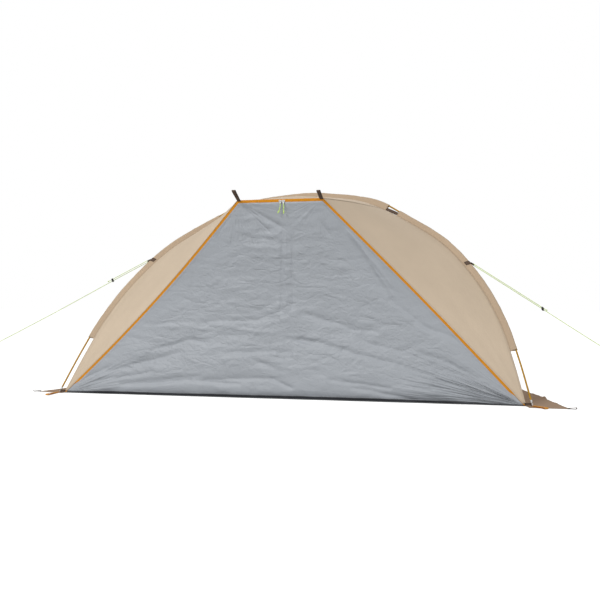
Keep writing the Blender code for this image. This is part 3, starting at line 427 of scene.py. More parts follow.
def woven_look(name, colour, roughness=0.80, hem=0.011):
    """Cloth with threads, uneven tone, a doubled hem at its border and two rows of stitches; the band along
    the border is painted darker, as painted shade along the seams.
    """
    look = Look(name, colour, roughness, gloss=0.2)
    plain = look.map()
    look.tones(look.cloud(plain, 2.2, 4.0, 0.6), (0.25, 0.93), (0.55, 1.0), (0.8, 1.06))
    look.lay(look.cloud(look.map("UV", (1.0, 6.0, 1.0)), 240.0, 2.0), 0.16, 0.8)
    hem_relief_and_shade = look.rim_band(-1.0, hem)
    # Painted shade: the band along the sheet's sewn border is darkened in the colour. The hem's real relief
    # is the bump below.
    look.lay(hem_relief_and_shade, 0.30, 0.72)
    rows = look.sum("MAXIMUM", *(look.rim_band(hem - low, hem - high) for low, high in STITCH_ROWS))
    stitches = look.times(rows, look.sum("GREATER_THAN", look.wave(plain, "DIAGONAL", STITCH), 0.35))
    look.lay(stitches, 0.5, 0.45)
    fine = look.cloud(plain, 26.0, 4.0, 0.55, 0.4)
    return look.finished((fine, 0.25, 0.004), (look.weave(THREAD), 0.25, 0.0001),
                         (hem_relief_and_shade, 0.35, 0.0004), (stitches, 0.4, 0.0003))


BEIGE = woven_look("sand_polyester", (0.690, 0.562, 0.423))
SLEEVE = woven_look("sleeve_polyester", (0.545, 0.416, 0.292), hem=0.006)
SEAM_BAND = woven_look("sewn_seam_band", (0.530, 0.420, 0.305), hem=0.0024)
FLAP = woven_look("brown_flap_cloth", (0.385, 0.268, 0.185), roughness=0.95, hem=0.012)
print("woven cloth in", BEIGE.name, SLEEVE.name, FLAP.name)


# %% Coated cloth for the front panel and the floor
# Crumple layers: stretch, turn, scale and share of the depth
CRUMPLES = (((0.45, 1.0, 1.25), 0.12, 6.0, 1.0), ((0.60, 1.0, 1.30), -0.40, 13.0, 0.60),
            ((0.80, 1.0, 1.15), 0.60, 28.0, 0.32), ((0.90, 1.0, 1.10), -0.20, 60.0, 0.13))
# Folds from a corner (x, z): reach, folds in a radian, spread and depth
FOLD_CORNERS = [((1.32, 0.0), 0.85, 17.0, 0.52, 0.055), ((-1.32, 0.0), 0.60, 12.0, 0.60, 0.020),
                ((-0.24, 1.10), 0.40, 5.0, 4.0, 0.020), ((0.24, 1.10), 0.30, 5.0, 4.0, 0.012)]
RAY_DRIFT = 1.6              # how fast a fold changes along its way


def folds_from(look, corner, reach, density, spread):
    """Sharp folds that spread like rays from a corner and fade out along their way."""
    parts = look.node("SeparateXYZ", (0, look.node("TexCoord").outputs["Object"])).outputs
    x = look.sum("SUBTRACT", parts["X"], corner[0])
    z = look.sum("SUBTRACT", parts["Z"], corner[1])
    angle = look.sum("ARCTAN2", z, look.sum("ABSOLUTE", x))
    away = look.sum("SQRT", look.sum("ADD", look.times(x, x), look.times(z, z)))
    ray = look.node("CombineXYZ", ("X", look.times(angle, density)), ("Y", look.times(away, RAY_DRIFT)),
                    ("Z", 3.0 + corner[0])).outputs[0]
    crease = look.crease(look.cloud(ray, 1.0, 2.0, 0.5, 0.2))
    for fade in (look.eased(away, 0.03, 0.16, 0.15, 1.0), look.eased(away, reach * 0.3, reach, 1.0, 0.0),
                 look.eased(look.sum("ABSOLUTE", angle), spread * 0.6, spread, 1.0, 0.12)):
        crease = look.times(crease, fade)
    return crease


def coated_look(name, colour, roughness, crinkle, depth, corners=()):
    """Cloth with a thin shiny coat: fine flat facets between packing creases."""
    look = Look(name, colour, roughness, sheen=0.05)
    look.tones(look.cloud(look.map("Object"), 1.7, 5.0, 0.6), (0.25, 0.95), (0.6, 1.0), (0.85, 1.05))
    worn = look.cloud(look.map("Object", (1.0, 1.0, 3.0)), 30.0, 5.0, 0.65)
    look.lay(worn, 0.14, 0.78)
    look.uneven_roughness(worn, 0.2, roughness - 0.1)
    loose = look.eased(look.rim(), 0.02, 0.26, 0.35, 1.0)
    layers = []
    for stretch, turn, scale, share in CRUMPLES:
        cloud = look.cloud(look.map("Object", stretch, (0.0, turn, 0.0)), scale, 1.5, 0.45, 0.5)
        layers.append((look.times(look.crease(cloud), loose), crinkle, depth * share))
    for *corner, deep in corners:
        layers.append((folds_from(look, *corner), 1.0, deep))
    return look.finished(*layers, (look.weave(COATED_THREAD), 0.15, 0.0001))


GREY = coated_look("grey_coated_cloth", (0.382, 0.405, 0.437), 0.50, 0.90, 0.024, FOLD_CORNERS)
GROUND = coated_look("dark_floor_cloth", (0.045, 0.048, 0.054), 0.60, 0.30, 0.010)
print("coated cloth in", GREY.name, GROUND.name)


# %% Webbing, zip tape and cord
TAPE_BORDER, STRAND = 0.0028, 0.0011


def ribbed_look(name, colour, edge, rib, rib_shade_share=0.35):
    """Narrow woven tape: ribs across its length, painted darker in their hollows and lighter on their crests
    as painted shade and highlight, and borders of another tone.
    """
    look = Look(name, colour, 0.8, gloss=0.2)
    plain = look.map()
    height = look.times(look.wave(plain, "X", rib, 0.6), look.wave(plain, "Y", rib * 1.3))
    # Painted shade and highlight: the colour follows the rib height, from dark in the hollows to light on
    # the crests.
    look.mix(look.times(height, rib_shade_share), scaled(colour, 0.75), scaled(colour, 1.9))
    look.mix(look.rim_band(-1.0, TAPE_BORDER), look.ground, edge)
    fuzz = look.cloud(plain, 900.0, 2.0)
    look.lay(fuzz, 0.2, 1.0)
    return look.finished((height, 0.5, 0.0004), (fuzz, 0.2, 0.0002))


BROWN = ribbed_look("brown_webbing", (0.145, 0.098, 0.072), (0.055, 0.038, 0.028), 0.0022)
ORANGE_WEB = ribbed_look("orange_webbing", (0.820, 0.350, 0.045), (0.70, 0.27, 0.03), 0.0020)
ZIP_TAPE = ribbed_look("orange_zip_tape", (0.860, 0.345, 0.026), (0.80, 0.305, 0.022), 0.0014, 0.2)


def braided_look(name, colour):
    """Braid: two sets of slanting strands that cross, painted darker in the grooves between the strands as
    painted shade.
    """
    look = Look(name, colour, 0.7, sheen=0.2)
    braid = look.sum("MAXIMUM", *(look.wave(look.map("Object", turn=(slant, slant, 0.0)), "Z", STRAND)
                                  for slant in (0.6, -0.6)))
    # Painted shade: the colour is darker where the strands sink, between them.
    look.mix(braid, scaled(colour, 0.82), colour)
    return look.finished((braid, 0.5, 0.0003))


LIME = braided_look("lime_cord", (0.500, 0.690, 0.075))
LIME_PULL = braided_look("lime_pull_cord", (0.660, 0.920, 0.170))
PALE = braided_look("pale_elastic", (0.620, 0.620, 0.600))


# %% Poles, metal and plastic
def streaked_look(name, colour, roughness, metallic, gloss, streak):
    """A drawn or pultruded surface: fine streaks and a few scuffs."""
    look = Look(name, colour, roughness, metallic, gloss=gloss)
    plain = look.map("Object")
    look.tones(look.cloud(plain, streak, 4.0, 0.6), (0.3, 0.82), (0.7, 1.0))
    scuffs = look.cloud(plain, streak * 3, 2.0)
    look.uneven_roughness(scuffs, 0.25, roughness - 0.12)
    return look.finished((scuffs, 0.12, 0.0003))


GOLD = streaked_look("gold_fibreglass", (0.520, 0.285, 0.028), 0.60, 0.0, 0.10, 60.0)
STEEL = streaked_look("bright_metal", (0.560, 0.560, 0.550), 0.38, 0.9, 0.5, 140.0)
DARK = streaked_look("dark_plastic", (0.028, 0.028, 0.030), 0.50, 0.0, 0.4, 160.0)
print("looks:", len(bpy.data.materials))

# %% [markdown]
# ## Making a sheet of cloth
# Every cloth piece starts as a flat grid. Each point of the grid is then put on the piece's
# surface by a short formula of its two shares, across and up. That keeps the threads even, gives
# a map in metres, and lets each point know how far it is from the border, for hems and stitches.

# %% Sheet maker
CLOTH_SHOWN = 0.0009


def make_sheet(place, columns, rows, folds=None):
    """A grid put in place, with its map in metres and each point's distance to the border."""
    made = bmesh.new()
    rim = made.verts.layers.float.new("rim")
    metres = made.loops.layers.uv.new("metres")
    bmesh.ops.create_grid(made, x_segments=columns, y_segments=rows, size=0.5)
    shares = {vert: (vert.co.x + 0.5, vert.co.y + 0.5) for vert in made.verts}
    spots = {}
    for vert, (across, up) in shares.items():
        spots[round(across * columns), round(up * rows)] = vert
        vert.co = place(across, up)
    level = [runs_of([spots[i, j].co for i in range(columns + 1)]) for j in range(rows + 1)]
    upright = [runs_of([spots[i, j].co for j in range(rows + 1)]) for i in range(columns + 1)]
    width, height = max(run[-1] for run in level), max(run[-1] for run in upright)
    for (i, j), vert in spots.items():
        vert[rim] = min(level[j][i], level[j][-1] - level[j][i], upright[i][j],
                        upright[i][-1] - upright[i][j])
    for face in made.faces:
        for loop in face.loops:
            across, up = shares[loop.vert]
            loop[metres].uv = (across * width, up * height)
    area = sum(face.calc_area() for face in made.faces)
    if folds:
        made.normal_update()
        moves = {vert: vert.normal * folds(*shares[vert], vert[rim]) for vert in made.verts}
        for vert, move in moves.items():
            vert.co += move
    return made, (width, height, area)


def declare(piece, look, body, nodes):
    """Says what a piece is made of, what it rides on and what it stands for."""
    piece.data.materials.append(look)
    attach(piece, body)
    if nodes:
        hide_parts(*nodes)
    return piece


def add_piece(name, made, look, body, nodes):
    mesh = bpy.data.meshes.new(name)
    made.to_mesh(mesh)
    made.free()
    mesh.shade_smooth()
    return declare(show(bpy.data.objects.new(name, mesh)), look, body, nodes)


def add_sheet(name, place, columns, rows, look, nodes, body="tent",
              folds=None, thickness=CLOTH_SHOWN):
    """A sheet of cloth from its formula; the size it was cut to is printed."""
    made, (width, height, area) = make_sheet(place, columns, rows, folds)
    piece = add_piece(name, made, look, body, nodes)
    shell = piece.modifiers.new("thickness", "SOLIDIFY")
    shell.thickness, shell.offset, shell.use_even_offset = thickness, 0.0, False
    flat = (round(width, 4), round(height, 4))
    min(area, flat[0] * flat[1])
    print(name, "cut", round(width, 3), "x", round(height, 3), "m, area", round(area, 3))


def wrinkle(x, y, z):
    """Smooth noise at a place."""
    return noise.noise(Vector((x, y, z)))


def wrinkles(x, y, z, gain=0.9, step=2.0):
    """Noise in three layers, each finer than the one before."""
    return noise.fractal(Vector((x, y, z)), gain, step, 3)


# %% [markdown]
# ## The front opening's surface
# The zipped edges run straight in a front view, but they lie back at half height, because the
# cloth is pulled towards the arch. One formula gives the depth at each place, and the panel, both
# halves of the zip and the wings' front edges all use it.

# %% Front surface
TAPE_START, TAPE_MIDDLE, TAPE_END = 0.0010, 0.0100, 0.0190
TOUCH = 0.0003               # gap between pieces that touch


def edge_half(z, inset=0.0):
    """Half the width of the front opening at a height, drawn in square to the slanted edge."""
    run = Vector((FOOT_HALF - CORNER_HALF, CORNER_HEIGHT - WALL_FOOT))
    return FOOT_HALF - run.x * (z - WALL_FOOT) / run.y - inset * run.length / run.y


def front_point(x, z, forward=0.0):
    up = z / CORNER_HEIGHT
    depth = EDGE_SETBACK * math.sin(math.pi * min(up, 1.0))
    depth += HEM_SETBACK * (1 - (x / FOOT_HALF) ** 2) * (1 - up) ** 2
    return at(x, depth - forward, z)


def outline_edge(share):
    """A point on the right slanted edge of the opening, by its share of the way up."""
    z = WALL_FOOT + (CORNER_HEIGHT - WALL_FOOT) * share
    return front_point(edge_half(z), z)


# %% [markdown]
# ## Front panel
# The panel is the piece that the eye goes to: coated cloth that was folded small in its bag. It
# shows long creases pulled out of its lower corners, level wrinkles across the middle, two
# upright packing creases left of the middle, and a crumpled foot that turns under. Each long
# crease is an entry in a list, and noise adds the crumple between them.

# %% Creases of the panel
# Ends (x, z, x, z), width and depth of each crease; a crease with a minus sign stands proud.
CREASES = [
    (-0.24, 1.085, -0.014, 0.957, 0.016, 0.005), (-0.2, 1.075, -0.076, 0.975, 0.012, -0.0035),
    (-0.216, 0.9, -0.019, 0.877, 0.01, 0.0022), (-0.214, 0.85, -0.022, 0.831, 0.012, -0.0018),
    (-0.185, 0.927, -0.067, 0.936, 0.01, 0.0018), (-0.004, 0.924, -0.021, 0.484, 0.009, 0.0024),
    (0.018, 0.924, 0.008, 0.49, 0.01, -0.0016), (0.058, 0.923, 0.042, 0.495, 0.009, 0.0024),
    (-0.555, 0.701, -0.56, 0.511, 0.008, 0.0014), (-0.497, 0.419, -0.044, 0.444, 0.014, 0.003),
    (-0.844, 0.405, -0.546, 0.418, 0.01, 0.0022), (-0.78, 0.263, -0.543, 0.317, 0.014, 0.0036),
    (-0.543, 0.317, -0.463, 0.305, 0.012, 0.0036), (-0.191, 0.213, -0.031, 0.155, 0.012, 0.003),
    (-0.382, 0.397, -0.071, 0.354, 0.014, -0.0026), (0.011, 0.333, 0.208, 0.291, 0.014, 0.0036),
    (0.375, 0.917, 0.603, 0.633, 0.014, -0.004), (0.495, 0.737, 0.614, 0.573, 0.012, -0.003),
    (0.221, 0.974, 0.273, 0.897, 0.012, 0.0024), (0.092, 0.334, 0.339, 0.271, 0.016, 0.0046),
    (0.339, 0.271, 0.656, 0.196, 0.016, 0.004), (0.107, 0.473, 0.376, 0.386, 0.016, 0.0036),
    (0.376, 0.386, 0.526, 0.371, 0.014, 0.003), (0.728, 0.422, 0.975, 0.334, 0.012, 0.0024),
    (0.945, 0.11, 1.236, 0.014, 0.016, 0.006), (0.886, 0.138, 1.21, 0.04, 0.014, -0.004),
    (0.834, 0.081, 1.083, 0.024, 0.014, 0.004), (0.818, 0.194, 1.056, 0.121, 0.014, 0.0026),
    (0.272, 0.107, 0.605, 0.072, 0.01, 0.0036), (-0.072, 0.11, 0.058, 0.058, 0.008, 0.0036),
    (-1.286, 0.05, -1.046, 0.158, 0.01, 0.0026), (-0.972, 0.045, -0.546, 0.088, 0.01, 0.0036),
    (-0.546, 0.088, -0.245, 0.067, 0.01, 0.003), (0.656, 0.19, 1.031, 0.064, 0.014, 0.0044),
    (0.402, 0.067, 0.737, 0.013, 0.014, 0.004), (0.597, 0.546, 0.815, 0.385, 0.012, 0.0022),
    (0.763, 0.267, 1.081, 0.137, 0.014, 0.0036), (-1.055, 0.124, -0.618, 0.245, 0.016, 0.0034),
    (-1.162, 0.064, -0.794, 0.129, 0.012, 0.0034), (-0.973, 0.057, -0.487, 0.112, 0.014, 0.0036),
    (-0.486, 0.09, -0.014, 0.111, 0.014, 0.0032), (-0.316, 0.25, 0.037, 0.255, 0.014, 0.0026)]
BROAD_FOLDS = [
    (-0.21, 1.057, 0.026, 0.872, 0.045, 0.005), (1.223, 0.055, 0.131, 0.458, 0.05, 0.006),
    (1.184, 0.109, 0.395, 0.654, 0.045, -0.005), (-1.184, 0.065, -0.263, 0.382, 0.05, 0.005),
    (-0.658, 0.218, 0.131, 0.185, 0.045, -0.004), (0.342, 0.916, 0.579, 0.632, 0.04, 0.005)]
CREASE_STRENGTH, CREASE_CUT = 2.0, 3     # the cut is counted in widths


def crease_depth(x, z, creases):
    """How far the creases push a place back, fading along each one towards its ends."""
    depth = 0.0
    for ax, az, bx, bz, width, deep in creases:
        run_x, run_z = bx - ax, bz - az
        length = math.hypot(run_x, run_z)
        along = ((x - ax) * run_x + (z - az) * run_z) / length
        if not -CREASE_CUT * width < along < length + CREASE_CUT * width:
            continue
        off = ((x - ax) * run_z - (z - az) * run_x) / length
        off = abs(off + 0.5 * width * wrinkle(along * 9, ax * 7, az * 5)) / width
        if off <= CREASE_CUT:
            past = max(0.0, -along, along - length) / width
            middle = math.sin(math.pi * min(max(along / length, 0.0), 1.0))
            depth += deep * math.exp(-off ** 1.5 - past * past) * (0.75 + 0.5 * middle)
    return depth


def crumple(x, z):
    """The small wrinkles between the creases, longer sideways than upright."""
    level = wrinkles(x * 4.5 + 0.4 * z, z * 19.0, 1.7)
    small = wrinkles(x * 15.0 + 9.0 * z, z * 24.0 - 5.0 * x, 5.1, 0.8, 2.1)
    ridged = abs(wrinkle(x * 8.0 - 6.0 * z, z * 13.0 + 3.0 * x, 8.3))
    middle = math.exp(-((x + 0.12) / 0.55) ** 2)
    return (0.0013 * level * (0.6 + 0.8 * middle) + 0.0008 * small * (0.5 + 0.8 * middle)
            + 0.0026 * ridged * (0.35 + 0.65 * middle))


def ray_folds(x, z):
    """Folds that spread from the panel's two ground corners, deepest at the right one."""
    depth = 0.0
    for corner, reach, density, spread, deep in FOLD_CORNERS[:2]:
        aside, rise = x - corner[0], z - corner[1]
        away, angle = math.hypot(aside, rise), math.atan2(rise, abs(aside))
        fade = (eased((away - 0.05) / 0.15) * eased((reach - away) / (0.7 * reach))
                * eased((spread - angle) / (0.4 * spread)))
        if fade > 0:
            depth += 0.22 * deep * fade * abs(wrinkle(angle * density * 0.6, away * RAY_DRIFT, corner[0]))
    return depth


# %% Front panel
LAP_SIDE, LAP_TOP, LAP_LIFT = 0.0145, 0.0160, 0.0012
LAP_SIDE_FOOT = 0.0056
ZIP_FOOT, ZIP_FADE = 0.075, 0.030        # the zip is covered below this height
SEWN_TOP, CALM_REACH, LAP_REACH = 0.003, 0.022, 0.012
TUCK_DEPTH, TUCK_HEIGHT = 0.020, 0.055   # how far the foot turns under, and from what height


def lap_inset(z):
    """How far in from the opening's edge the panel's cloth begins, over the zip's tape."""
    return LAP_SIDE - (LAP_SIDE - LAP_SIDE_FOOT) * eased((ZIP_FOOT - z) / ZIP_FADE)


def panel_surface(x, z, forward=0.0):
    """The panel's cloth at a place: its creases, flat where it is sewn to the zip."""
    side_gap = edge_half(z, lap_inset(z)) - abs(x)
    loose = min(side_gap - (TAPE_END - lap_inset(z)), CORNER_HEIGHT - LAP_TOP - z - SEWN_TOP)
    over = 1 - eased((loose - SEWN_TOP) / LAP_REACH)
    back = crumple(x, z) + CREASE_STRENGTH * crease_depth(x, z, CREASES) + ray_folds(x, z)
    back += crease_depth(x, z, BROAD_FOLDS) * min(1.0, max(0.0, side_gap) / 0.15, z / 0.15)
    back += 0.004 * math.exp(-z / 0.05) * wrinkle(x * 9.0, 3.0, 0.0)
    tuck = TUCK_DEPTH * max(0.0, 1 - z / TUCK_HEIGHT) ** 2 * eased(side_gap / 0.25)
    tuck *= 1 + 0.6 * wrinkle(x * 3.1, 9.0, 0.0)
    place = front_point(x, z, forward + LAP_LIFT * over)
    return place + Vector((0.0, back * eased(loose / CALM_REACH) + tuck, 0.0))


def panel_place(across, up):
    closer = up * (0.75 + 0.25 * up)     # the rows lie closer together at the foot
    z = HEM_HEIGHT + (CORNER_HEIGHT - LAP_TOP - HEM_HEIGHT) * closer
    return panel_surface((2 * across - 1) * edge_half(z, lap_inset(z)), z)


add_sheet("front_panel_cloth", panel_place, 330, 140, GREY, ["front_panel"],
          body="front_panel")


# %% A dark strip along the panel's foot
def dark_foot_strip_place(along, across):
    """A dark strip along the panel's foot in the floor's cloth, with an uneven upper edge."""
    x = (2 * along - 1) * (FOOT_HALF - 0.012)
    rise = 0.0120 - 0.0050 * eased((x - 0.5) / 0.6) + 0.0060 * wrinkle(x * 2.3, 7.0, 0.0)
    rise += 0.0015 * wrinkle(x * 14.0, 2.0, 0.0)
    z = 0.0014 + rise * across
    reach = edge_half(z, 0.006)
    return panel_surface(min(max(x, -reach), reach), z, 0.0011 + 0.0006 * (1 - across))


# A dark strip laid just in front of the panel's foot, darker than the panel.
add_sheet("front_panel_dark_foot_strip", dark_foot_strip_place, 400, 4, GROUND, [], body="front_panel",
          thickness=0.0007)

# %% [markdown]
# ## Zip
# The zip is a coil zip turned over, so from outside it is two orange tapes that meet in a fine
# line. One tape is sewn to the canopy and the other to the panel. Each rises a little where the
# hidden coil lies below it.

# %% Zip tapes
TAPE_SIDE_STEPS, TAPE_TOP_STEPS = 120, 40
COIL_RISE, COIL_SHARE = 0.0004, 0.22


def tape_place(outer, inner):
    """A strip round the three zipped edges of the opening, between two insets from its edge."""
    def edge_line(inset):
        rise = (CORNER_HEIGHT - inset - HEM_HEIGHT) / TAPE_SIDE_STEPS
        heights = [HEM_HEIGHT + rise * i for i in range(TAPE_SIDE_STEPS + 1)]
        right, left = ([front_point(side * edge_half(z, inset), z) for z in heights] for side in (1.0, -1.0))
        top = [right[-1].lerp(left[-1], i / TAPE_TOP_STEPS) for i in range(1, TAPE_TOP_STEPS)]
        return right + top + left[::-1]

    lines = edge_line(outer), edge_line(inner)

    def place(along, across):
        stop = along * (len(lines[0]) - 1)
        i = min(int(stop), len(lines[0]) - 2)
        start, end = (line[i].lerp(line[i + 1], stop - i) for line in lines)
        near_coil = across if inner < TAPE_END - TOUCH else 1 - across
        lift = COIL_RISE * math.exp(-((1 - near_coil) / COIL_SHARE) ** 2)
        return start.lerp(end, across) + Vector((0.0, -lift, 0.0))
    return place


for half, outer, inner, body, cloth in (
        ("canopy", TAPE_START - 0.0005, TAPE_MIDDLE, "tent", "visor_roof_cloth"),
        ("panel", TAPE_MIDDLE + TOUCH, TAPE_END + TOUCH, "front_panel", "front_panel_cloth")):
    add_sheet(f"zip_tape_{half}_tape", tape_place(outer, inner), 560, 8, ZIP_TAPE,
              [f"zip_tape_{half}"], body=body, thickness=0.0008)

# %% [markdown]
# ## Canopy
# Five sheets make the canopy: a wing on each side between the zip and the arch, the narrow roof
# between them, a wall behind the arch on each side, and the back. Each one spans its four edges
# with a curved surface. Pulled cloth isn't quite smooth, so long soft folds run from its corners.

# %% Wings and side walls
SEAM_START = 0.025           # the seam's first point above the ground corner
EDGE_IN = 0.0009             # the cloth stops just inside the seam's folded edges
WING_LAP, WING_LAP_FOOT = 0.0015, 0.0036   # over the zip's tape, and how much more at the foot
WING_LIFT = 0.0011
side_seam = Line([GROUND_CORNER] + seam_points(SEAM_START, CROSS_RUN))
FIRST_SHARE = side_seam.run[1] / side_seam.length


def soft_folds(across_scale, up_scale, height, seed):
    """Long folds that fade out at the border."""
    def folds(across, up, rim):
        return height * wrinkles(across * across_scale, up * up_scale, seed) * min(1.0, rim / 0.06)
    return folds


def wing_folds(side):
    """Slack rays from the ground corner, stronger on the left, and the general softness."""
    general = soft_folds(2.2, 1.3, 0.0022, 2.0 + side)

    def folds(across, up, rim):
        rays = 0.0030 * wrinkle(across * 7.0, up * 0.9, 21.0 + side) * (1.0 if side < 0 else 0.35)
        return general(across, up, rim) + rays * min(1.0, rim / 0.05) * (1 - 0.6 * up)
    return folds


def drawn_in(share, length, first, last):
    """A share of a line that keeps clear of both its ends."""
    return (first + share * max(length - first - last, 0.0)) / max(length, first + last)


def seam_share(up):
    return min(FIRST_SHARE + (1 - FIRST_SHARE) * up, 1 - EDGE_IN / side_seam.length)


def wing_place(side):
    def place(across, up):
        share = seam_share(up)
        edge, seam = outline_edge(share), side_seam.at(share)
        reach = (seam - edge).length
        lap = WING_LAP + WING_LAP_FOOT * eased((ZIP_FOOT - edge.z) / ZIP_FADE)
        part = drawn_in(across, reach, -lap, EDGE_IN)
        bend = RIDGE_FRONT.at(part) - FRONT_CORNER.lerp(CROSSING, max(part, 0.0))
        lift = WING_LIFT * (1 - eased((part * reach + lap) / 0.010))
        return mirrored(edge.lerp(seam, part) + bend * share - Vector((0.0, lift, 0.0)), side)
    return place


def side_wall_place(side):
    def place(across, up):
        share = seam_share(up)
        seam, foot = side_seam.at(share), GROUND_CORNER.lerp(REAR_CORNER, share)
        part = drawn_in(across, (seam - foot).length, EDGE_IN, 0.0)
        bend = RIDGE_REAR.at(part) - CROSSING.lerp(REAR_CORNER, part)
        return mirrored(seam.lerp(foot, part) + bend * share, side)
    return place


for label, side in SIDES.items():
    add_sheet(f"wing_{label}_cloth", wing_place(side), 80, 130, BEIGE, [f"wing_{label}"],
              folds=wing_folds(side))
    add_sheet(f"side_wall_{label}_cloth", side_wall_place(side), 100, 110, BEIGE,
              [f"side_wall_{label}"],
              folds=soft_folds(1.6, 3.0, 0.0040, 6.0 + side))


# %% Roof and back wall
ROOF_WIDTH, BACK_WIDTH = 0.7, 1.5        # rough widths, to draw in the side edges


def spanned(low, high, right, across, up):
    """A point on the surface between two lines and a side line, which is mirrored for the left."""
    span = low(across).lerp(high(across), up) + right(up).lerp(mirrored(right(up), -1.0), across)
    return span - low(0.0).lerp(low(1.0), across).lerp(high(0.0).lerp(high(1.0), across), up)


top_seam = Line(seam_points(CROSS_RUN, ARCH.length - CROSS_RUN))


def front_top(share):
    return front_point(CORNER_HALF * (1 - 2 * share), CORNER_HEIGHT)


def back_foot(share):
    return REAR_CORNER.lerp(mirrored(REAR_CORNER, -1.0), share)


def visor_place(across, up):
    across = drawn_in(across, ROOF_WIDTH, EDGE_IN, EDGE_IN)
    up = drawn_in(up, RIDGE_FRONT.length, TAPE_START + TOUCH, EDGE_IN)
    return spanned(front_top, top_seam.at, RIDGE_FRONT.at, across, up)


def back_place(across, up):
    across = drawn_in(across, BACK_WIDTH, EDGE_IN, EDGE_IN)
    up = drawn_in(up, RIDGE_REAR.length, EDGE_IN, 0.0)
    return spanned(top_seam.at, back_foot, RIDGE_REAR.at, across, up)


for name, place, columns, rows, folds in (
        ("visor_roof", visor_place, 90, 50, soft_folds(5.0, 2.0, 0.003, 9.0)),
        ("back_wall", back_place, 150, 110, soft_folds(6.0, 1.8, 0.006, 11.0))):
    add_sheet(f"{name}_cloth", place, columns, rows, BEIGE, [name],
              folds=folds)

# %% [markdown]
# ## Seams on the ridges
# Two sheets that meet on a ridge are joined by a flat seam: the edges are folded into each other
# and sewn down twice. From outside it is a narrow doubled band, so it is a strip of cloth that
# leans on both sheets.

# %% Ridge seams
SEAM_HALF, SEAM_LIFT, PROBE = 0.0055, 0.0011, 0.01


def ridge_seam_place(side, ridge, middle_sheet, side_sheet):
    """A band along a ridge that bends over onto the sheets on its two sides."""
    def place(along, across):
        point = mirrored(ridge.at(0.004 + 0.990 * along), side)
        beside = mirrored(middle_sheet(PROBE, along), side), side_sheet(along, 1 - PROBE)
        down = [(spot - point).normalized() for spot in beside]
        out = -(down[0] + down[1]).normalized()
        return point + down[across > 0.5] * (SEAM_HALF * abs(2 * across - 1)) + out * SEAM_LIFT
    return place


for label, side in SIDES.items():
    for part, ridge, steps, sheet, beside, cloth in (
            ("front", RIDGE_FRONT, 90, visor_place, wing_place(side), "visor_roof_cloth"),
            ("rear", RIDGE_REAR, 200, back_place, side_wall_place(side), "back_wall_cloth")):
        add_sheet(f"ridge_seam_{part}_{label}", ridge_seam_place(side, ridge, sheet, beside), steps, 6,
                  SEAM_BAND, [])

# %% [markdown]
# ## Floor and sand flaps
# The floor sheet is dark coated cloth that lies flat, with its rear edge turned up to the back
# wall's foot. The flaps lie on the ground beside it, to be weighed down with sand, so they keep a
# few waves.

# %% Floor
FLOOR_LEVEL_SHOWN, FLOOR_CRINKLE, FLOOR_TURN_UP = 0.0011, 0.0006, 0.0022


def floor_place(across, up):
    x, depth = (2 * across - 1) * side_half(FLOOR_DEPTH * up), FLOOR_DEPTH * up
    crinkle = 0.0005 * wrinkles(x * 6, depth * 6, 4.0)
    turned_up = FLOOR_TURN_UP * eased((up - 0.985) / 0.015)
    return at(x, depth, FLOOR_LEVEL_SHOWN + turned_up + min(max(crinkle, -FLOOR_CRINKLE), FLOOR_CRINKLE))


def side_half(depth):
    """Half the floor's width at a depth."""
    return FOOT_HALF + (REAR_HALF - FOOT_HALF) * depth / FLOOR_DEPTH


add_sheet("groundsheet_cloth", floor_place, 160, 76, GROUND, ["groundsheet"])

# %% Sand flaps
FLAP_WIDTH = {-1.0: 0.185, 1.0: 0.200}
FLAP_AHEAD = {-1.0: 0.022, 1.0: 0.070}
FLAP_SLANT = {-1.0: 0.040, 1.0: 0.0}    # how far its front edge runs back to the outer corner
FLAP_EDGE, FLAP_WAVE, FLAP_WAVES, FLAP_RIDGE = 0.006, 0.006, 2.5, 0.012
FLAP_SEWN, FLAP_LEVEL = 0.0006, 0.0010   # from the floor's edge, and above the ground


def flap_place(side):
    def place(across, up):
        ahead = FLAP_AHEAD[side] - FLAP_SLANT[side] * across
        depth = -ahead + (FLOOR_DEPTH + ahead) * up
        edge = FLAP_EDGE * wrinkle(up * 7.0, side, 2.0) * across
        x = side_half(depth) + FLAP_SEWN + (FLAP_WIDTH[side] + edge) * across
        wave = FLAP_WAVE * max(0.0, math.sin(2 * math.pi * FLAP_WAVES * up + 1.0)) * across
        wave *= min(1.0, max(0.0, 3 * (up - 1 / 6)))
        ridge = FLAP_RIDGE * across * across * math.exp(-((up - 0.38 + 0.05 * across) / 0.022) ** 2)
        small = 0.0050 * abs(wrinkles(across * 3.0, up * 20.0, 3.0 + side)) * min(1.0, up * 8)
        return at(side * x, depth, FLAP_LEVEL + wave + ridge + small * min(1.0, across * 4))
    return place


for label, side in SIDES.items():
    add_sheet(f"sand_flap_{label}_cloth", flap_place(side), 30, 150, FLAP,
              [f"sand_flap_{label}"])

# %% [markdown]
# ## Pole sleeves
# A sleeve is a strip of darker cloth folded round the pole and sewn down along the canopy's seam.
# Its section is a drop: round over the pole, straight down its two faces to the stitches. The
# strip is one sheet, bent round that section and carried along the pole's line.

# %% Sleeve section and the sheet along it
SLEEVE_ROUND, SLEEVE_ALLOWANCE = 0.0079, 0.005
WEB_HALF = 0.0008
SLEEVE_SHOWN = 0.0007


def drop_outline(depth):
    """The sleeve's section from seam to seam: (distance outwards from the pole, distance aside)."""
    touch = math.acos(min(1.0, SLEEVE_ROUND / (depth - SLEEVE_ALLOWANCE)))
    half = [(-depth - 0.0008, WEB_HALF), (-depth + 0.0045, WEB_HALF)]
    turns = [math.pi - touch + (touch - math.pi) * i / 8 for i in range(9)]
    half += [(SLEEVE_ROUND * math.cos(turn), SLEEVE_ROUND * math.sin(turn)) for turn in turns]
    return Line([Vector((out, aside, 0.0)) for out, aside in half]
                + [Vector((out, -aside, 0.0)) for out, aside in reversed(half[:-1])])


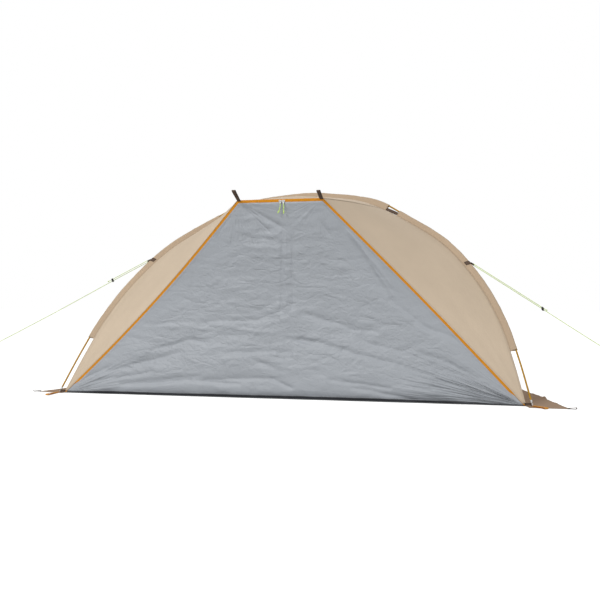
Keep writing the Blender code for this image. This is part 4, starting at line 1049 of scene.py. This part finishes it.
def sleeve_place(line, start, end, pole, seam, side=1.0):
    """pole and seam lead from the line to the pole's middle and to the seam, as (out, aside)."""
    outline = drop_outline(math.hypot(pole[0] - seam[0], pole[1] - seam[1]))

    def place(along, across):
        run = start + (end - start) * along
        point, out = line.point(run), line.outward(run)
        middle, foot = (point + out * spot[0] + line.plane * spot[1] for spot in (pole, seam))
        away = (middle - foot).normalized()
        beside = (line.plane - away * line.plane.dot(away)).normalized()
        spot, full = outline.at(across), math.sin(math.pi * across)
        pucker = 0.0011 * full * wrinkles(run * 34.0, across * 5.0, start * 3.0)
        slack = 0.0010 * full * wrinkle(run * 9.0, across * 2.0, 4.0)
        spot += Vector((spot.x + 0.006, spot.y, 0.0)).normalized() * (pucker + slack)
        return mirrored(middle + away * spot.x + beside * spot.y, side)
    return place


# %% Arch sleeves
far = ARCH.length
for label, start, end, drop, cloth in (
        ("right", SLEEVE_END_RUN[1.0], GAP_RUNS[0], SIDE_SEAM_DROP, "wing_right_cloth"),
        ("top", GAP_RUNS[1], far - GAP_RUNS[1], TOP_SEAM_DROP, "visor_roof_cloth"),
        ("left", far - GAP_RUNS[0], far - SLEEVE_END_RUN[-1.0], SIDE_SEAM_DROP, "wing_left_cloth")):
    add_sheet(f"arch_sleeve_{label}_cloth", sleeve_place(ARCH, start, end, (0.0, 0.0), (-drop, 0.0)),
              round((end - start) / 0.007), 40, SLEEVE, [f"arch_sleeve_{label}"],
              thickness=SLEEVE_SHOWN)

# %% Side sleeves under the ridges
SIDE_START, SIDE_END = 0.050, RIDGE.length - 0.026
hang = (-SIDE_POLE_DROP * math.cos(SIDE_HANG), -SIDE_POLE_DROP * math.sin(SIDE_HANG))
for label, side in SIDES.items():
    add_sheet(f"side_sleeve_{label}_cloth",
              sleeve_place(RIDGE, SIDE_START, SIDE_END, hang, (0.0, 0.0), side),
              200, 32, SLEEVE, [f"side_sleeve_{label}"],
              thickness=SLEEVE_SHOWN)

# %% [markdown]
# ## Tubes and cords
# A pole section is a fibreglass tube with a metal ferrule on one end, which takes the next
# section. Tubes and cords are curves with a round section, because a curve keeps its roundness
# through every bend. A change of thickness at a point makes a ferrule's shoulder or a knot.

# %% Curve maker
def add_tube(name, splines, radius, look, body, nodes, roundness=5):
    """A round curve through each list of (point, thickness)."""
    curve = bpy.data.curves.new(name, "CURVE")
    curve.dimensions, curve.bevel_depth, curve.bevel_resolution = "3D", radius, roundness
    curve.use_fill_caps = True
    for stops in splines:
        line = curve.splines.new("POLY")
        line.points.add(len(stops) - 1)
        for spot, (point, thickness) in zip(line.points, stops):
            spot.co, spot.radius = (*point, 1.0), thickness
    return declare(show(bpy.data.objects.new(name, curve)), look, body, nodes)


# %% Poles
POLE_RADIUS, FERRULE_RADIUS, FERRULE_REACH, JOINT_GAP = 0.00475, 0.0057, 0.030, 0.0005
TIP_START, TIP_LENGTH = 0.0045, 0.032
ELASTIC_RADIUS, ELASTIC_INSET = 0.0011, 0.002
POLE_STEP = 0.012            # between the points of a pole's curve
SIDE_POLE_SHIFT = 0.0085     # from the ends of its sleeve to the ends of a side pole


def add_pole(name, line, start, end, sections, shift=(0.0, 0.0), side=1.0):
    """A pole's sections, each with the ferrule that takes the next one, and its elastic cord."""
    def spot(run):
        return mirrored(line.point(run) + line.outward(run) * shift[0] + line.plane * shift[1], side)

    def stops(first, last, thickness):
        count = max(2, round((last - first) / POLE_STEP))
        return [(spot(first + (last - first) * i / count), thickness) for i in range(count + 1)]

    def softened(stop_list, chamfer):
        """The ends drawn in over a short chamfer."""
        (p, t), (q, _) = stop_list[0], stop_list[1]
        (r, _), (s, u) = stop_list[-2], stop_list[-1]
        head, tail = (q - p).normalized() * chamfer, (r - s).normalized() * chamfer
        less = chamfer / POLE_RADIUS
        return [(p, t - less), (p + head, t)] + stop_list[1:-1] + [(s + tail, u), (s, u - less)]

    length = (end - start) / sections
    for i in range(sections):
        first = start + length * i + (JOINT_GAP if i else 0.0)
        last = start + length * (i + 1)
        splines = [softened(stops(first, last, 1.0), 0.0004)]
        if i < sections - 1:
            cuff = FERRULE_RADIUS / POLE_RADIUS
            splines.append(softened(stops(last - FERRULE_REACH, last + FERRULE_REACH, cuff), 0.0006))
        node = f"{name}_section_{i + 1}"
        add_tube(f"{node}_tube", splines, POLE_RADIUS, GOLD, "tent", [node])
    add_tube(f"{name}_elastic_cord", [stops(start + ELASTIC_INSET, end - ELASTIC_INSET, 1.0)],
             ELASTIC_RADIUS, PALE, "tent", [f"{name}_elastic"], 2)


add_pole("arch_pole", ARCH, TIP_START + TIP_LENGTH, ARCH.length - TIP_START - TIP_LENGTH, 6)
for label, side in SIDES.items():
    add_pole(f"side_pole_{label}", RIDGE, SIDE_START + SIDE_POLE_SHIFT, SIDE_END + SIDE_POLE_SHIFT, 3,
             hang, side)

# %% Pole tips and foot rings
RING_RADIUS, RING_WIRE, FLAP_TOP = 0.0095, 0.0017, 0.0018


def foot_place():
    foot = ARCH.point(TIP_START + RING_WIRE)
    foot.z = FLAP_TOP + TOUCH + RING_WIRE
    return foot


def tip_stops(side):
    """A pin with a rounded end, a shoulder and a cap with two grooves."""
    shape = [(0.0, 1.2), (0.0008, 2.1), (0.002, 2.5), (0.0165, 2.5), (0.0178, 3.6), (0.0180, 4.8),
             (0.0188, 5.2), (0.0222, 5.2), (0.0226, 4.7), (0.0234, 4.7), (0.0238, 5.2), (0.0262, 5.2),
             (0.0266, 4.7), (0.0274, 4.7), (0.0278, 5.2), (0.0310, 5.2), (0.0317, 4.9)]
    return [(mirrored(ARCH.point(TIP_START + run), side), radius) for run, radius in shape]


for label, side in SIDES.items():
    add_tube(f"pole_tip_{label}_metal", [tip_stops(side)], 0.001, STEEL, "tent",
             [f"pole_tip_{label}"], 6)
    made = bmesh.new()
    upright = Matrix.Translation((RING_RADIUS - RING_WIRE, 0.0, 0.0)) @ Matrix.Rotation(math.pi / 2, 4, "X")
    bmesh.ops.create_circle(made, segments=12, radius=RING_WIRE, matrix=upright)
    bmesh.ops.spin(made, geom=made.edges[:], axis=(0, 0, 1), cent=(0, 0, 0), steps=36,
                   angle=2 * math.pi, use_merge=True)
    bmesh.ops.recalc_face_normals(made, faces=made.faces[:])
    bmesh.ops.translate(made, vec=mirrored(foot_place(), side), verts=made.verts[:])
    add_piece(f"foot_ring_{label}_rubber", made, DARK, "tent", [f"foot_ring_{label}"])

# %% [markdown]
# ## Webbing
# Loops and straps are flat woven tape. A loop is one strip that runs out from its stitches, turns
# back and returns, so it is one long thin sheet bent along that line.

# %% Webbing loops
WEB, WEB_WIDTH, LOOP_SEWN = 0.0014, 0.020, 0.0005
LOOP_HALF, WEB_SHOWN = LOOP_SEWN + WEB, WEB * 0.92
LOOP_STEPS, LOOP_TURNS = 14, 12          # along each leg, and round the bend


def add_loop(node, base, way, width_way, length, width, slot, look):
    """A loop of tape: base is the middle of its sewn end, slot half of its gap at the bend."""
    up = way.cross(width_way).normalized()
    sewn, bent = LOOP_SEWN + WEB / 2, slot + WEB / 2
    reach = length - WEB / 2 - bent
    leg = [Vector((reach * i / LOOP_STEPS, -sewn - (bent - sewn) * (i / LOOP_STEPS) ** 1.3, 0.0))
           for i in range(LOOP_STEPS)]
    turns = [math.pi * (i / LOOP_TURNS - 0.5) for i in range(LOOP_TURNS + 1)]
    bend = [Vector((reach + bent * math.cos(turn), bent * math.sin(turn), 0.0)) for turn in turns]
    line = Line(leg + bend + [Vector((p.x, -p.y, 0.0)) for p in reversed(leg)])

    def place(along, across):
        spot = line.at(along)
        return base + way * spot.x + up * spot.y + width_way * (width * (across - 0.5))

    return add_sheet(f"{node}_web", place, 90, 8, look, [node], thickness=WEB_SHOWN)


def front_slope(x, z):
    return (front_point(x, z + TAPE_START) - front_point(x, z - TAPE_START)).normalized()


# %% Loops on the canopy
CORNER_LOOP_LENGTH = {-1.0: 0.110, 1.0: 0.085}
CORNER_LOOP_WAY = Vector((0.0, -0.894, 0.447)).normalized()
CORNER_LOOP_SLOT, GUY_LOOP_SLOT, GROUND_LOOP_SLOT = 0.0034, 0.0022, 0.0032   # half of a loop's gap
HALF_CLOTH = 0.00075         # half the thickness of the solids' cloth
z = CORNER_HEIGHT - TAPE_MIDDLE / 2
for label, side in SIDES.items():
    x = side * (CORNER_HALF - WEB_WIDTH / 2 + TAPE_START)
    base = front_point(x, z + LOOP_HALF, HALF_CLOTH + TOUCH + LOOP_HALF * CORNER_LOOP_WAY.z)
    base.z = z
    add_loop(f"corner_loop_{label}", base, CORNER_LOOP_WAY, Vector((1.0, 0.0, 0.0)),
             CORNER_LOOP_LENGTH[side], WEB_WIDTH, CORNER_LOOP_SLOT, BROWN)

GUY_WAY = Vector((0.743, -0.464, -0.482)).normalized()
GUY_INSET = {-1.0: 0.385, 1.0: 0.350}   # from the arch pole's feet in to the guy loops, by side
GUY_RUN = {side: ARCH.run_where(lambda point: point.x - HALF_SPAN + inset)
           for side, inset in GUY_INSET.items()}
GUY_LOOP_LENGTH, GUY_LOOP_WIDTH = 0.026, 0.010
SLEEVE_RADIUS = 0.0085       # from the pole's middle to the outside of its sleeve


def guy_frame(side):
    """Start of a guy line at its loop, its way out, and the way across its two strands."""
    outward, way = mirrored(ARCH.outward(GUY_RUN[side]), side), mirrored(GUY_WAY, side)
    square = (outward - way * outward.dot(way)).normalized()
    spread = way.cross(square).normalized()
    spread = -spread if spread.z < 0 else spread
    start = mirrored(ARCH.point(GUY_RUN[side]), side) + square * (SLEEVE_RADIUS + LOOP_HALF - TOUCH)
    return start, way, spread


for label, side in SIDES.items():
    base, way, spread = guy_frame(side)
    add_loop(f"guy_loop_{label}", base, way, spread, GUY_LOOP_LENGTH, GUY_LOOP_WIDTH, GUY_LOOP_SLOT,
             BROWN)


# %% Webbing sewn over the sleeve at each guy loop
WRAP_WIDTH, WRAP_LIFT, WRAP_SKEW = 0.026, 0.0018, 0.014
WRAP_START, WRAP_SHARE = 0.12, 0.76      # the share of the sleeve's section that it covers
WRAP_OUTLINE = drop_outline(SIDE_SEAM_DROP)


def guy_wrap_place(side):
    """A band over the sleeve whose two legs lean towards the line's pull."""
    def place(along, across):
        run = GUY_RUN[side] + WRAP_WIDTH * (along - 0.5) + WRAP_SKEW * abs(2 * across - 1)
        spot = WRAP_OUTLINE.at(WRAP_START + WRAP_SHARE * across)
        lift = Vector((max(spot.x, 0.0), spot.y, 0.0)).normalized() * WRAP_LIFT
        point = ARCH.point(run) + ARCH.outward(run) * (spot.x + lift.x) + ARCH.plane * (spot.y + lift.y)
        return mirrored(point, side)
    return place


for label, side in SIDES.items():
    add_sheet(f"guy_wrap_{label}_web", guy_wrap_place(side), 8, 44, BROWN, [],
              thickness=0.0010)


# %% Loops on the ground
FOOT_STRAP_LENGTH = {-1.0: 0.165, 1.0: 0.130}
REAR_STRAP_LENGTH, FLAP_LOOP_LENGTH, FLAP_LOOP_WIDTH = 0.110, 0.045, 0.014
FOOT_STRAP_WAY = {-1.0: Vector((0.10, -0.99, 0.0)), 1.0: Vector((0.50, -0.87, 0.0))}


def add_ground_loop(node, start, way, length, width, look):
    base = Vector((start.x, start.y, FLAP_TOP + TOUCH + LOOP_HALF))
    rise = Vector((0.0, 0.0, (GROUND_LOOP_SLOT - LOOP_SEWN) / length))
    flat = Vector((way.y, -way.x, 0.0)).normalized()
    add_loop(node, base, (way.normalized() + rise).normalized(), flat, length, width,
             GROUND_LOOP_SLOT, look)


for label, side in SIDES.items():
    way = FOOT_STRAP_WAY[side].normalized()
    add_ground_loop(f"foot_strap_{label}", mirrored(foot_place(), side) + way * (RING_RADIUS + TOUCH), way,
                    FOOT_STRAP_LENGTH[side], WEB_WIDTH, ORANGE_WEB)
    way = Vector((0.93 * side, -0.37, 0.0)).normalized()
    ahead = FLAP_AHEAD[side] - FLAP_SLANT[side]
    corner = at(side * (side_half(-ahead) + FLAP_WIDTH[side]), -ahead, 0.0)
    add_ground_loop(f"flap_loop_{label}", corner - way * FLAP_LOOP_WIDTH, way, FLAP_LOOP_LENGTH,
                    FLAP_LOOP_WIDTH, BROWN)
    way = Vector((0.55 * side, 0.83, 0.0)).normalized()
    add_ground_loop(f"rear_strap_{label}", mirrored(REAR_CORNER, side) + way * (HALF_CLOTH + TOUCH), way,
                    REAR_STRAP_LENGTH, WEB_WIDTH, ORANGE_WEB)

# %% Gap straps and corner tabs
TAB_HEIGHT = 0.012
low_start, low_end = TOP_SEAM_DROP - 0.0015 - WEB_WIDTH, POLE_RADIUS + 2 * WEB


def gap_strap_place(side):
    def place(along, across):
        run = GAP_RUNS[0] + TOUCH + (GAP_RUNS[1] - GAP_RUNS[0] - 2 * TOUCH) * along
        near = low_end + (low_start - low_end) * along
        return mirrored(ARCH.point(run) - ARCH.outward(run) * (near + WEB_WIDTH * across), side)
    return place


for label, side in SIDES.items():
    add_sheet(f"gap_strap_{label}_web", gap_strap_place(side), 24, 8, BROWN,
              [f"gap_strap_{label}"], thickness=WEB)
    low = foot_place().z + RING_WIRE + TOUCH
    inner = edge_half(low, TAPE_START) + 0.0009
    outer = foot_place().x - RING_RADIUS + 2 * RING_WIRE

    def tab_place(across, up, side=side, low=low, inner=inner, outer=outer):
        bow = 0.0006 * math.sin(math.pi * up)
        return at(side * (inner + (outer - inner) * across), bow, low + TAB_HEIGHT * up)

    add_sheet(f"corner_tab_{label}_web", tab_place, 8, 10, BROWN, [f"corner_tab_{label}"],
              thickness=2 * WEB)

# %% [markdown]
# ## Guy lines and pull cords
# Each guy line is one cord: from a knot behind the runner it goes up, through the webbing loop
# and back down through the runner, and on to the peg, where it ends in a knotted eye just outside
# the photo. It hangs a little where it is single. The cords on the zip pulls are short and end in
# a knot.

# %% Cord routes
GUY_TURN = [(0.041, 0.0070, 1.0), (0.028, 0.0074, 1.0), (0.0237, 0.0068, 1.0), (0.0221, 0.0045, 1.0),
            (0.0220, 0.0000, 1.0), (0.0221, -0.0045, 1.0), (0.0237, -0.0068, 1.0),
            (0.028, -0.0074, 1.0), (0.041, -0.0070, 1.0)]
GUY_EYE = [(1.060, -0.0070, 1.0), (1.064, -0.0070, 2.6), (1.069, -0.0070, 1.0), (1.078, -0.0110, 1.0),
           (1.091, -0.0160, 1.0), (1.103, -0.0120, 1.0), (1.108, -0.0020, 1.0), (1.102, 0.0070, 1.0),
           (1.089, 0.0090, 1.0), (1.077, 0.0030, 1.0), (1.071, -0.0025, 1.0)]
GUY_ROUTE = {
    "left": [(0.302, 0.0070, 1.0), (0.298, 0.0070, 2.4), (0.294, 0.0070, 1.0), (0.160, 0.0070, 1.0)]
            + GUY_TURN + [(0.300, -0.0070, 1.0), (0.480, -0.0100, 1.0), (0.680, -0.0120, 1.0),
                          (0.880, -0.0100, 1.0)] + GUY_EYE,
    "right": [(0.562, 0.0070, 1.0), (0.558, 0.0070, 2.4), (0.554, 0.0070, 1.0), (0.300, 0.0070, 1.0)]
             + GUY_TURN + [(0.300, -0.0070, 1.0), (0.556, -0.0070, 1.0), (0.720, -0.0085, 1.0),
                           (0.900, -0.0085, 1.0)] + GUY_EYE}
GUY_RADIUS, PULL_CORD_RADIUS = 0.0015, 0.0019


def cord_stops(points, thicknesses, steps=6):
    """The route's smooth points, each with its thickness."""
    stops = []
    for i, point in enumerate(smooth_through(points, steps)):
        start, part = divmod(i, steps)
        ahead = min(start + 1, len(thicknesses) - 1)
        stops.append((point, thicknesses[start] + (thicknesses[ahead] - thicknesses[start]) * part / steps))
    return stops


def length_of(stops):
    return runs_of([point for point, _ in stops])[-1]


# %% Guy lines
for label, side in SIDES.items():
    base, way, spread = guy_frame(side)
    route = GUY_ROUTE[label]
    stops = cord_stops([base + way * run + spread * across for run, across, _ in route],
                       [thickness for _, _, thickness in route])
    guy = add_tube(f"guy_line_{label}_cord", [stops], GUY_RADIUS, LIME, "tent",
                   [f"guy_line_{label}"], 4)
    length_of(stops)
    print(f"guy line {label}", round(length_of(stops), 3), "m")

# %% Pull cords
PULL_CORD_ROUTE = {
    "left": [(0.000, 0.0, 0.000, 1.0), (0.000, 0.0, -0.005, 1.0), (0.001, 0.0, -0.011, 1.0),
             (-0.002, 0.0, -0.022, 1.0), (-0.004, 0.0, -0.031, 1.0), (-0.005, 0.0, -0.038, 1.0),
             (-0.008, 0.0, -0.042, 1.9), (-0.011, 0.0, -0.047, 1.7), (-0.014, 0.0, -0.053, 1.0)],
    "right": [(0.000, 0.0, 0.000, 1.0), (0.000, 0.0, -0.005, 1.0), (0.003, 0.0, -0.012, 1.0),
              (0.001, 0.0, -0.023, 1.0), (-0.001, 0.0, -0.033, 1.0), (0.001, 0.0, -0.040, 1.0),
              (0.002, 0.0, -0.045, 1.9), (0.002, 0.0, -0.050, 1.7), (-0.001, 0.0, -0.056, 1.0)]}
SLIDERS_MIDDLE, SLIDER_APART, SLIDER_THICK = 0.012, 0.0185, 0.0030
BRIDGE_REACH, BRIDGE_RADIUS = 0.0028, 0.0007
PULL_LENGTH, PULL_THICK = 0.014, 0.0012


def slider_frame(side):
    """Where a slider sits on the tape: its face and the way out of it."""
    x, z = SLIDERS_MIDDLE + side * SLIDER_APART / 2, CORNER_HEIGHT - TAPE_MIDDLE
    up = front_slope(x, z)
    out = up.cross(Vector((1.0, 0.0, 0.0))).normalized()
    out = -out if out.y > 0 else out
    return front_point(x, z) + out * (HALF_CLOTH + TOUCH), out


for label, side in SIDES.items():
    face, out = slider_frame(side)
    axis = face + out * SLIDER_THICK + out * ((BRIDGE_REACH - BRIDGE_RADIUS + TOUCH) / 2)
    start = axis - Vector((0.0, 0.0, PULL_LENGTH - PULL_THICK / 2 + TOUCH))
    route = PULL_CORD_ROUTE[label]
    stops = cord_stops([start + Vector((x, depth, z)) for x, depth, z, _ in route],
                       [thickness for _, _, _, thickness in route])
    pull_cord = add_tube(f"pull_cord_{label}_cord", [stops], PULL_CORD_RADIUS, LIME_PULL,
                         f"pull_{label}", [f"pull_cord_{label}"], 4)
    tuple(start)
    length_of(stops)

# %% [markdown]
# ## Small hard parts
# The sliders, pulls and runners keep the frame's own shapes, with better finishes.

# %% Finishes on the frame's own parts
for label in SIDES:
    for node, look in ((f"zip_slider_{label}", STEEL), (f"zip_pull_{label}", STEEL),
                       (f"guy_runner_{label}", DARK)):
        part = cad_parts[node]
        part.data.materials.clear()
        part.data.materials.append(look)
